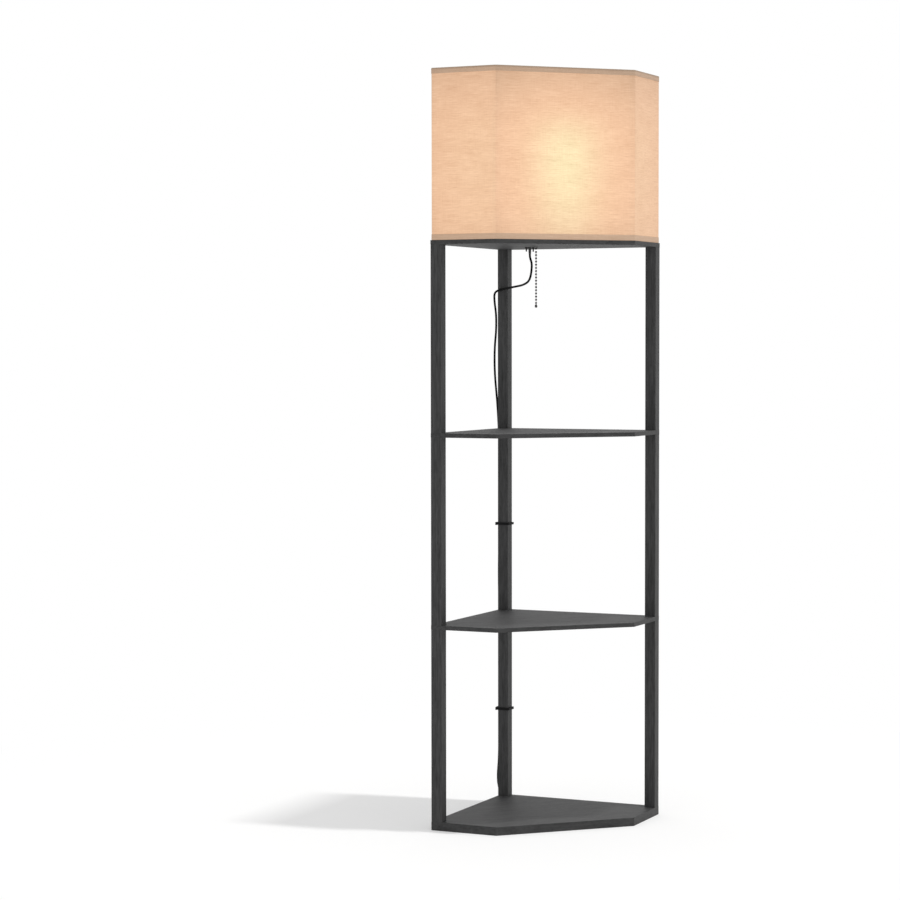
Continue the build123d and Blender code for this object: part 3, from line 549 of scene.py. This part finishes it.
def plainMesh(piece):               # what the modifiers make, as a mesh of its own
    graph = bpy.context.evaluated_depsgraph_get()
    mesh = bpy.data.meshes.new_from_object(piece.evaluated_get(graph))
    piece.modifiers.clear()
    piece.data = mesh
    mesh.name = piece.name


shade = {
    "wallSide": 372.0,
    "shortSide": 150.0,
    "low": 1242.0,               # top of the lamp board
    "height": 358.0,
    "cornerRadius": 7.0,
    "tape": 0.6,
    "cloth": 0.8,
    "liner": 0.5,
    "sag": 0.9,                  # how far the sides draw in between their rims
    "ripple": 0.06,
    "rippleSize": (46.0, 5.2),   # along the side and up it
    "calmEdge": 16.0,            # the ripple fades out over this height at each rim
    "bendBand": 24,              # a side's last twenty-fourth shares its corner's painted shade line
    "step": 4.2,
    "hemHeight": 12.0,
    "wallInside": 1.9,           # inner face of cloth and liner together
    "wireRoom": 3.2,
}
cornerY = (shade["wallSide"] + shade["shortSide"]) / (2 * math.sqrt(2))


def fromCorner(x, y):               # millimetres along the two back sides to the shared frame
    return Vector(((y - x) / math.sqrt(2), cornerY - (x + y) / math.sqrt(2)))


def bendArc(bend, radius, step):    # points round one rounded corner
    middle, start, end = bend
    begin = math.atan2(*(start - middle).yx)
    sweep = (start - middle).angle_signed(end - middle)
    parts = max(3, round(abs(sweep) * radius / step) + 3)
    arc = []
    for j in range(parts + 1):
        angle = begin - sweep * j / parts
        out = Vector((math.cos(angle), math.sin(angle)))
        arc.append((middle + out * radius, out, -1, 0.0))
    return arc


# points round the footprint from the middle of the back corner, each with its outward direction,
# its side (-1 in a corner) and its share of that side
def footprintPath(inset, radius, step):
    near, far = inset, shade["wallSide"] - inset
    short = shade["shortSide"] - inset * (math.sqrt(2) - 1)
    outline = ((near, near), (near, far), (short, far), (far, short), (far, near))
    corners = [fromCorner(*corner) for corner in outline]
    bends = []
    for k, here in enumerate(corners):
        before = (corners[k - 1] - here).normalized()
        after = (corners[(k + 1) % 5] - here).normalized()
        half = before.angle(after) / 2
        middle = here + (before + after).normalized() * (radius / math.sin(half))
        start = here + before * (radius / math.tan(half))
        end = here + after * (radius / math.tan(half))
        bends.append((middle, start, end))
    arcs = [bendArc(bend, radius, step) for bend in bends]
    split = (len(arcs[0]) - 1) // 2
    path = []
    for k, (middle, start, end) in enumerate(bends):
        path += arcs[k][split:] if k == 0 else arcs[k]
        run = bends[(k + 1) % 5][1] - end
        count = max(2, round(run.length / step))
        out = (end - middle).normalized()
        path += [(end + run * (j / count), out, k, j / count) for j in range(1, count)]
    path += arcs[0][:split + 1]
    lengths = [0.0]
    for one, two in zip(path, path[1:]):
        lengths.append(lengths[-1] + (two[0] - one[0]).length)
    return path, lengths


sideWays = [Vector((math.cos(math.radians(angle)), math.sin(math.radians(angle)), 0.0))
            for angle in (-90, -45, 45, 135, 225)]
# the bulb's light on the cloth is painted into its glow: a painted pool of light nearest the bulb,
# brighter on the front, with painted shade towards the sides, the top and the foot
shadeGlow = {
    "lift": 0.0157,              # the brightest spot is this far above the bulb's middle
    "aside": (0.345, 2.1),       # width and steepness of the spot to the sides,
    "up": (0.46, 3.2),           # upwards
    "down": (0.722, 1.85),       # and downwards
    "backSpot": 0.8,
    "even": 0.935,
    "frontGain": 0.115,
    "sideLoss": (0.20, 0.0, 1.0, 0.8),       # amount, where it starts, over what, where it levels off
    "topLoss": (0.30, 0.2, 0.75, 1.4),
    "footLoss": (0.10, 0.25, 0.37, 2.0),
    # painted shade: less glow on the sides the fill lamp faces, so they come out no brighter than the
    # rest
    "fillLoss": (0.165, 0.35),
    # painted shade: a darker line down each corner, where the strut behind the cloth stands in the light
    "bendLoss": 0.035,
}


def settle(value, most):            # follows the value, then levels off
    return value / (1 + (value / most) ** 4) ** 0.25


def loss(distance, amount, start, span, most):
    return amount * settle((max(0.0, distance - start) / span) ** 2, most)


# how near the bulb a spot of the cloth looks, and how evenly it is lit
def glowAt(point, out, bend):
    ray = point - Vector(bulb["middle"])
    out = max(sideWays, key=out.dot)        # a rounded corner is lit as the side it is nearest
    height = max(ray.dot(out), 0.02)
    flat = ray - out * ray.dot(out)
    aside = math.hypot(flat.x, flat.y) / height
    above = (flat.z - shadeGlow["lift"]) / height
    reach, steepness = shadeGlow["up"] if above > 0 else shadeGlow["down"]
    width, sharpness = shadeGlow["aside"]
    near = math.exp(-(aside / width) ** sharpness - (abs(above) / reach) ** steepness)
    front = max(0.0, -out.y) ** 6
    near *= front + shadeGlow["backSpot"] * max(0.0, out.y)
    even = shadeGlow["even"] + shadeGlow["frontGain"] * front - loss(aside, *shadeGlow["sideLoss"])
    even -= loss(above, *shadeGlow["topLoss"])
    even -= loss(-above, *shadeGlow["footLoss"])
    fillGain, fillStart = shadeGlow["fillLoss"]
    fromFill = max(0.0, out.x * 0.9 - out.y * 0.3)
    even *= 1.0 - fillGain * max(0.0, fromFill - fillStart)
    return near, even - shadeGlow["bendLoss"] * bend


def addClothData(piece, metres, outs, bends, rims=None):
    mesh = piece.data
    layer = mesh.uv_layers.new(name="clothMetres")
    for loop in mesh.loops:
        layer.data[loop.index].uv = metres[loop.vertex_index]
    near = mesh.attributes.new("nearBulb", "FLOAT", "POINT")
    even = mesh.attributes.new("evenness", "FLOAT", "POINT")
    for index, vertex in enumerate(mesh.vertices):
        one, two = glowAt(vertex.co, outs[index], bends[index])
        near.data[index].value = one
        even.data[index].value = two * (rims[index] if rims else 1.0)


# one layer of the laminate, a continuous sheet from the back corner round to itself
def makeShadeSheet(name, node, material, inset, thickness):
    low = shade["low"] + shade["tape"]
    high = shade["low"] + shade["height"] - shade["tape"]
    rows = round((high - low) / shade["step"])
    path, lengths = footprintPath(inset, shade["cornerRadius"] - inset, shade["step"])
    wide, tall = shade["rippleSize"]
    layers = []
    for depth in (0.0, thickness):
        layer = []
        for (spot, out, side, share), along in zip(path, lengths):
            for r in range(rows + 1):
                up = r / rows
                z = low + (high - low) * up
                pull = shade["sag"] * math.sin(math.pi * up) ** 0.8 if 0 < r < rows else 0.0
                pull *= math.sin(math.pi * share) ** 0.8 if side >= 0 else 0.0
                streak = noise.noise(Vector((along / wide, z / tall, 3.1)))
                hold = min(1.0, min(up, 1 - up) * (high - low) / shade["calmEdge"])
                flat = spot + out * (streak * shade["ripple"] * hold - pull - depth)
                layer.append(Vector((flat.x, flat.y, z)) * mm)
        layers.append(layer)
    columns = len(path)
    verts = layers[0] + layers[1]
    size = len(layers[0])
    faces = []
    for c in range(columns - 1):
        for r in range(rows):
            a, b = c * (rows + 1) + r, (c + 1) * (rows + 1) + r
            faces.append((a, b, b + 1, a + 1))
            faces.append((size + a, size + a + 1, size + b + 1, size + b))
        for r in (0, rows):
            a, b = c * (rows + 1) + r, (c + 1) * (rows + 1) + r
            faces.append((a, size + a, size + b, b))
    for c in (0, columns - 1):
        for r in range(rows):
            a = c * (rows + 1) + r
            faces.append((a, size + a, size + a + 1, a + 1))
    piece = newPiece(name, verts, faces, material)
    metres, outs, bends = [], [], []
    for _ in range(2):
        for (spot, out, side, share), along in zip(path, lengths):
            bend = 1.0 if side < 0 else max(0.0, 1.0 - min(share, 1 - share) * shade["bendBand"])
            for r in range(rows + 1):
                metres.append((along * mm, (high - low) * r / rows * mm))
                outs.append(Vector((out.x, out.y, 0.0)))
                bends.append(bend)
    addClothData(piece, metres, outs, bends)
    facesOut(piece)
    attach(piece, "stand")
    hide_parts(node)
    return piece, lengths[-1] * mm, (high - low) * mm


# the folded tape round one rim, swept, soft over the wire
def makeHem(name, node, top):
    t, wall = shade["tape"], shade["wallInside"]
    inner = wall + shade["wireRoom"]
    section = [
        (t, shade["hemHeight"]), (0.0, shade["hemHeight"] - 0.1), (0.0, 8.5), (-0.05, 5.0),
        (-0.1, 2.6), (0.05, 1.1), (0.5, 0.35), (1.2, 0.05), (2.4, 0.0), (3.9, 0.0), (4.9, 0.25),
        (5.5, 0.9), (5.75, 2.0), (5.55, 3.2), (4.9, 4.1), (3.7, 4.6), (2.9, 5.3), (2.55, 6.4),
        (2.5, 9.0), (2.5, shade["hemHeight"]), (wall, shade["hemHeight"]), (wall, 5.0),
        (wall + 0.1, 4.4), (3.4, 4.0), (4.6, 3.5), (inner - 0.05, 2.6), (inner - 0.1, 1.5),
        (4.5, 0.75), (3.4, 0.6), (1.9, 0.62), (0.9, 0.9), (0.62, 1.8), (t, 4.0), (t, 8.0),
    ]
    path, lengths = footprintPath(0.0, shade["cornerRadius"], 5.0)
    path, lengths = path[:-1], lengths[:-1]
    rng = random.Random(11 if top else 7)
    phase = rng.random() * 50
    verts, metres, outs, bends, rims = [], [], [], [], []
    around = [0.0]
    for one, two in zip(section, section[1:]):
        around.append(around[-1] + math.dist(one, two))
    for (spot, out, _, _), along in zip(path, lengths):
        wobble = noise.noise(Vector((along / 24.0, phase, 0.0)))
        for (inset, rise), way in zip(section, around):
            pucker = noise.noise(Vector((along / 9.0, way / 5.0, phase))) * 0.12
            edge = wobble * 0.25 if rise > shade["hemHeight"] - 1 else 0.0
            flat = spot - out * (inset - (pucker if inset < 0.6 and rise > 1.2 else 0.0))
            z = rise + edge
            z = shade["low"] + (shade["height"] - z if top else z)
            verts.append(Vector((flat.x, flat.y, z)) * mm)
            metres.append((along * mm, way * mm))
            outs.append(Vector((out.x, out.y, 0.0)))
            bends.append(0.0)
            # painted shade: the top hem's glow dims towards its rim, where the wire inside holds back the
            # light
            rims.append(0.35 + 0.65 * min(1.0, max(0.0, (rise - 1.0) / 4.0)) if top else 1.0)
    count, columns = len(section), len(path)
    faces = []
    for c in range(columns):
        after = (c + 1) % columns
        for k in range(count):
            j = (k + 1) % count
            faces.append((c * count + k, after * count + k, after * count + j, c * count + j))
    piece = newPiece(name, verts, faces, linenHem)
    addClothData(piece, metres, outs, bends, rims)
    facesOut(piece)
    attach(piece, "stand")
    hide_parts(node)
    return piece


shadeCloth, clothLength, clothHeight = makeShadeSheet(
    "shadeCloth", "shade_cloth", linenCloth, shade["tape"], shade["cloth"])
makeShadeSheet("shadeLiner", "shade_liner", linerStyrene,
               shade["tape"] + shade["cloth"] + 0.02, shade["liner"] - 0.02)
bottomHem = makeHem("bottomHem", "bottom_hem_tape", False)
topHem = makeHem("topHem", "top_hem_tape", True)
print("shade made, cloth %.3f by %.3f m" % (clothLength, clothHeight))


lead = {
    "diameter": 0.0046,
    "holderY": bulb["middle"][1],
    "sleeveTip": 1.219,
    "hankRun": 0.092,
    "foldRadius": 0.0138,
    "laneStep": 0.0056,
    "layer": 0.0051,
    "waist": 0.0105,
    "lift": 0.0008,
    "hankFromCorner": 0.128,
    "clearance": 0.0015,
    "tail": 0.042,
    "plugOut": 0.0089,
}
leadRoute = [
    (0.0, lead["holderY"], lead["sleeveTip"]), (0.0, lead["holderY"], 1.211),
    (0.0025, 0.0132, 1.1995), (0.0004, 0.0102, 1.1812), (-0.0001, 0.0170, 1.1662),
    (0.0004, 0.0322, 1.1580), (-0.0010, 0.0580, 1.1526), (-0.0016, 0.0900, 1.1507),
    (-0.0030, 0.1220, 1.1488), (-0.0065, 0.1500, 1.1468), (-0.0176, 0.1626, 1.1438),
    (-0.0248, 0.1690, 1.1370), (-0.0226, 0.1724, 1.117), (-0.0180, 0.1742, 1.091),
    (-0.0175, 0.1750, 1.056), (-0.0220, 0.1725, 1.021), (-0.0230, 0.1720, 0.985),
    (-0.0205, 0.1745, 0.948), (-0.0145, 0.1790, 0.905), (-0.0100, 0.1815, 0.855),
    (-0.0080, 0.1815, 0.800), (-0.0084, 0.1806, 0.744), (-0.0086, 0.1803, 0.686),
    (-0.0078, 0.1810, 0.626), (-0.0084, 0.1820, 0.570), (-0.0089, 0.1828, 0.512),
    (-0.0080, 0.1826, 0.452), (-0.0076, 0.1816, 0.392), (-0.0082, 0.1807, 0.332),
    (-0.0086, 0.1804, 0.272), (-0.0078, 0.1810, 0.213), (-0.0082, 0.1822, 0.155),
    (-0.0084, 0.1832, 0.099), (-0.0118, 0.1846, 0.053), (-0.0030, 0.1920, 0.022),
    (0.0070, 0.1990, 0.006), (0.0200, 0.2000, 0.0023), (0.0350, 0.1920, 0.0023),
    (0.0470, 0.1750, 0.0023),
]


# x along the back right side of the base, y out from the nearest run, z up from the lower layer
def besideBase(x, y, z):
    radius = lead["diameter"] / 2
    flat = fromCorner(-(lead["clearance"] + radius + y) / mm, (lead["hankFromCorner"] + x) / mm) * mm
    return (flat.x, flat.y, radius + z)


def hankPoints():
    outer, inner = lead["foldRadius"] + lead["laneStep"], lead["foldRadius"]
    top, half = lead["layer"], lead["hankRun"] / 2
    farOuter, nearInner, farInner = 2 * outer, lead["laneStep"], lead["laneStep"] + 2 * inner
    runs = [(0.0, 0.0, 0.0), (farOuter, 0.0, 0.0), (nearInner, 0.0, 0.0), (farInner, 0.0, top),
            (nearInner, top, top), (farOuter, top, top), (0.0, top, top)]
    points = []
    for k, (lane, z0, z1) in enumerate(runs):
        way = 1 if k % 2 == 0 else -1
        waist = lane + (lead["waist"] if lane < outer else -lead["waist"])
        middle = (z0 + z1) / 2 + lead["lift"]
        far, near = way * half * 0.62, way * half * 0.30        # the run narrows between these two
        wide, narrow = lane + (waist - lane) * 0.04, lane + (waist - lane) * 0.80
        points += [besideBase(-far, wide, z0 + (z1 - z0) * 0.1),
                   besideBase(-near, narrow, z0 + (middle - z0) * 0.8),
                   besideBase(0.0, waist, middle),
                   besideBase(near, narrow, z1 + (middle - z1) * 0.8),
                   besideBase(far, wide, z1 - (z1 - z0) * 0.1)]
        if k + 1 < len(runs):
            nextLane = runs[k + 1][0]
            radius, centre = abs(nextLane - lane) / 2, (nextLane + lane) / 2
            side = 1 if nextLane > lane else -1
            reach = radius / math.cos(math.radians(22.5))
            for step in range(4):
                angle = math.radians(-67.5 + 45 * step)
                x = way * (half + reach * math.cos(angle))
                points.append(besideBase(x, centre + side * reach * math.sin(angle), z1))
    points.append(besideBase(half + lead["tail"] * 0.30, 0.0004, top))
    points.append(besideBase(half + lead["tail"] * 0.62, lead["plugOut"] - 0.0006, top))
    points.append(besideBase(half + lead["tail"], lead["plugOut"], top))
    return points


tie = {
    "thick": 0.0006,
    "width": 0.009,
    "corner": 0.0024,
    "across": 10,
    "fuzz": 0.00008,
}


def makeLead():
    points = leadRoute + [besideBase(-lead["hankRun"] / 2 - 0.024, 0.0, 0.0)] + hankPoints()
    data = bpy.data.curves.new("lead", "CURVE")
    data.dimensions = "3D"
    data.bevel_depth = lead["diameter"] / 2
    data.bevel_resolution = 5
    data.resolution_u = 8
    data.use_fill_caps = True
    spline = data.splines.new("NURBS")
    spline.points.add(len(points) - 1)
    for place, point in zip(spline.points, points):
        place.co = (*point, 1.0)
    spline.order_u = 3
    spline.use_endpoint_u = True
    curve = bpy.data.objects.new("lead", data)
    scene.collection.objects.link(curve)
    data.materials.append(cordSheath)
    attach(curve, "stand")
    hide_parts("power_cord", "cord_hank")
    return curve


# a soft hook-and-loop band round the waist of the hank
def makeHankTie():
    thick, corner, across = tie["thick"], tie["corner"], tie["across"]
    low = lead["waist"] - lead["diameter"] / 2 - 0.0002
    high = 2 * (lead["foldRadius"] + lead["laneStep"]) - low
    floor, top = -lead["diameter"] / 2, lead["layer"] + lead["diameter"] / 2 + 0.0010
    outside, inside = high - corner + thick, low + corner - thick
    lower, upper = floor + corner, top - corner + 0.0002
    centres = ((outside, lower, -90), (outside, upper, 0), (inside, upper, 90), (inside, lower, 180))
    rim = []
    for cy, cz, start in centres:
        for j in range(7):
            angle = math.radians(start + 15 * j)
            rim.append((cy, cz, math.cos(angle), math.sin(angle)))
    verts = []
    for depth in (0.0, thick):
        for k, (cy, cz, dy, dz) in enumerate(rim):
            for j in range(across + 1):
                x = (j / across - 0.5) * tie["width"]
                fuzz = noise.noise(Vector((k * 0.7, j * 0.9, depth * 900))) * tie["fuzz"]
                lift = corner - depth + (fuzz if depth == 0 and dz > -0.2 else 0.0)
                verts.append(besideBase(x, cy + dy * lift, cz + dz * lift))
    row, layer = across + 1, len(rim) * (across + 1)
    faces = []
    for k in range(len(rim)):
        here, after = k * row, (k + 1) % len(rim) * row
        for j in range(across):
            quad = (here + j, after + j, after + j + 1, here + j + 1)
            faces.append(quad)
            faces.append(tuple(layer + index for index in reversed(quad)))
        for j in (0, across):
            faces.append((here + j, layer + here + j, layer + after + j, after + j))
    piece = newPiece("hankTie", verts, faces, strapNylon)
    facesOut(piece)
    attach(piece, "stand")
    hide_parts("hank_tie")
    return piece


leadCurve = makeLead()
hankTie = makeHankTie()
print("lead made")


chain = {
    "holderY": bulb["middle"][1],
    "turn": 12.2,                # degrees round the holder from its front
    "fromHolder": 0.024,
    "bead": 0.00225,
    "pitch": 0.00685,
    "link": 0.00055,
    "swingZ": 1.22935,
    "upperBeads": 8,
    "hangingBeads": 17,
    "bellSides": 32,
    "bell": [(0.0, 0.0), (0.0011, -0.0001), (0.0014, -0.0006), (0.0013, -0.0011),
             (0.0020, -0.0017), (0.0027, -0.0029), (0.0030, -0.0044), (0.0028, -0.0059),
             (0.0022, -0.0069), (0.0023, -0.0074), (0.0018, -0.0078), (0.0014, -0.0075),
             (0.0017, -0.0066), (0.0, -0.0060)],
}


# hollow beads with a seam, on short links, along a line of points
def makeChainTree():
    tree = bpy.data.node_groups.new("beadChain", "GeometryNodeTree")
    face = tree.interface
    face.new_socket(name="Geometry", in_out="OUTPUT", socket_type="NodeSocketGeometry")
    for label, kind in (("Beads", "NodeSocketInt"), ("Pitch", "NodeSocketFloat"),
                        ("Radius", "NodeSocketFloat"), ("Link", "NodeSocketFloat"),
                        ("Start", "NodeSocketVector"), ("Finish", "NodeSocketMaterial")):
        face.new_socket(name=label, in_out="INPUT", socket_type=kind)
    entry = tree.nodes.new("NodeGroupInput").outputs
    leave = tree.nodes.new("NodeGroupOutput")

    def put(kind, values=None, **settings):
        return add(tree, kind, values, **settings)

    def times(socket, factor):
        return calc(tree, "MULTIPLY", socket, factor)

    def upright(length):
        return put("ShaderNodeCombineXYZ", {"Z": length}).outputs[0]

    line = put("GeometryNodeMeshLine", {"Count": entry["Beads"], "Start Location": entry["Start"],
                                        "Offset": upright(times(entry["Pitch"], -1.0))})
    ball = put("GeometryNodeMeshUVSphere", {"Segments": 20, "Rings": 12, "Radius": entry["Radius"]})
    seam = put("GeometryNodeMeshCylinder", {"Vertices": 20, "Radius": times(entry["Radius"], 1.03),
                                            "Depth": times(entry["Radius"], 0.1)})
    link = put("GeometryNodeMeshCylinder", {"Vertices": 10, "Radius": entry["Link"],
                                            "Depth": entry["Pitch"]})
    drop = put("GeometryNodeTransform", {"Geometry": link.outputs["Mesh"],
                                         "Translation": upright(times(entry["Pitch"], -0.5))})
    bead = put("GeometryNodeJoinGeometry")
    for made in (ball.outputs["Mesh"], seam.outputs["Mesh"], drop.outputs["Geometry"]):
        tree.links.new(made, bead.inputs[0])
    placed = put("GeometryNodeInstanceOnPoints", {"Points": line.outputs["Mesh"],
                                                  "Instance": bead.outputs[0]})
    real = put("GeometryNodeRealizeInstances", {"Geometry": placed.outputs[0]})
    smooth = put("GeometryNodeSetShadeSmooth", {"Geometry": real.outputs[0]})
    painted = put("GeometryNodeSetMaterial", {"Geometry": smooth.outputs[0], "Material": entry["Finish"]})
    tree.links.new(painted.outputs[0], leave.inputs[0])
    return tree


def treeInputs(modifier, values):
    for item in modifier.node_group.interface.items_tree:
        if item.item_type == "SOCKET" and item.in_out == "INPUT" and item.name in values:
            modifier[item.identifier] = values[item.name]


def chainLine():
    turn = math.radians(chain["turn"])
    return chain["fromHolder"] * math.sin(turn), chain["holderY"] - chain["fromHolder"] * math.cos(turn)


def makeBell(top):                  # the round pull at the end of the chain, turned from its outline
    x, y = chainLine()
    sides = chain["bellSides"]
    verts, faces = [], []
    for r, z in chain["bell"]:
        for k in range(sides):
            angle = 2 * math.pi * k / sides
            verts.append(Vector((x + r * math.cos(angle), y + r * math.sin(angle), top + z)))
    for row in range(len(chain["bell"]) - 1):
        here, below = row * sides, (row + 1) * sides
        for k in range(sides):
            after = (k + 1) % sides
            faces.append((here + k, here + after, below + after, below + k))
    piece = newPiece("chainBell", verts, faces, chainMetal)
    facesOut(piece)
    soften = piece.modifiers.new("soften", "SUBSURF")
    soften.levels = soften.render_levels = 1
    plainMesh(piece)
    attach(piece, "chain_hanging")
    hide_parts("chain_bell")


chainTree = makeChainTree()


def makeChain(name, beads, startZ, body, node):
    x, y = chainLine()
    piece = newPiece(name, [(x, y, startZ)], [], chainMetal)
    grow = piece.modifiers.new("beads", "NODES")
    grow.node_group = chainTree
    treeInputs(grow, {"Beads": beads, "Pitch": chain["pitch"], "Radius": chain["bead"],
                      "Link": chain["link"], "Start": (x, y, startZ), "Finish": chainMetal})
    piece.data.update()
    plainMesh(piece)
    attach(piece, body)
    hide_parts(node)


upperBottom = chain["swingZ"] + chain["pitch"]
makeChain("chainInGuide", chain["upperBeads"], upperBottom + chain["pitch"] * (chain["upperBeads"] - 1),
          "chain_in_guide", "upper_chain")
makeChain("chainHanging", chain["hangingBeads"], chain["swingZ"] - chain["pitch"],
          "chain_hanging", "hanging_chain")
makeBell(chain["swingZ"] - chain["pitch"] * chain["hangingBeads"] - chain["bead"] - 0.0001)
print("chain made")


def makeFloor():
    half = light["floorSize"] / 2
    material = bpy.data.materials.new("studioFloor")
    corners = [(-half, -half, 0), (half, -half, 0), (half, half, 0), (-half, half, 0)]
    floor = newPiece("studioFloor", corners, [(0, 1, 2, 3)], material, smooth=False)
    floor.location.z = -light["floorDrop"]
    material.use_nodes = True
    tree = material.node_tree
    tree.nodes.remove(tree.nodes["Principled BSDF"])
    away = add(tree, "ShaderNodeVectorMath", {0: objectSpace(tree)}, operation="LENGTH").outputs["Value"]
    fade = add(tree, "ShaderNodeMapRange", {
        "Value": away, "From Min": light["fadeFrom"], "From Max": light["fadeTo"],
        "To Min": light["shadowLift"], "To Max": 1.0}, interpolation_type="SMOOTHSTEP")
    factor = calc(tree, "MULTIPLY", seenByViewer(tree), fade.outputs["Result"])
    paper = add(tree, "ShaderNodeBsdfDiffuse", {"Color": (*(light["floorTone"],) * 3, 1.0)})
    white = add(tree, "ShaderNodeEmission", {"Color": (1.0, 1.0, 1.0, 1.0), "Strength": 1.0})
    mix = add(tree, "ShaderNodeMixShader", {0: factor, 1: paper.outputs[0], 2: white.outputs[0]})
    tree.links.new(mix.outputs[0], tree.nodes["Material Output"].inputs["Surface"])


def makeSky():
    world = bpy.data.worlds.new("studioSky")
    scene.world = world
    world.use_nodes = True
    tree = world.node_tree
    strength = remap(tree, seenByViewer(tree), 0.0, 1.0, light["ambient"], 1.0)
    feed(tree, tree.nodes["Background"], {"Color": (1.0, 1.0, 1.0, 1.0), "Strength": strength})


makeCamera()
makeFloor()
makeSky()
makeLights()
scene.view_settings.view_transform = "Standard"
print("stage made")
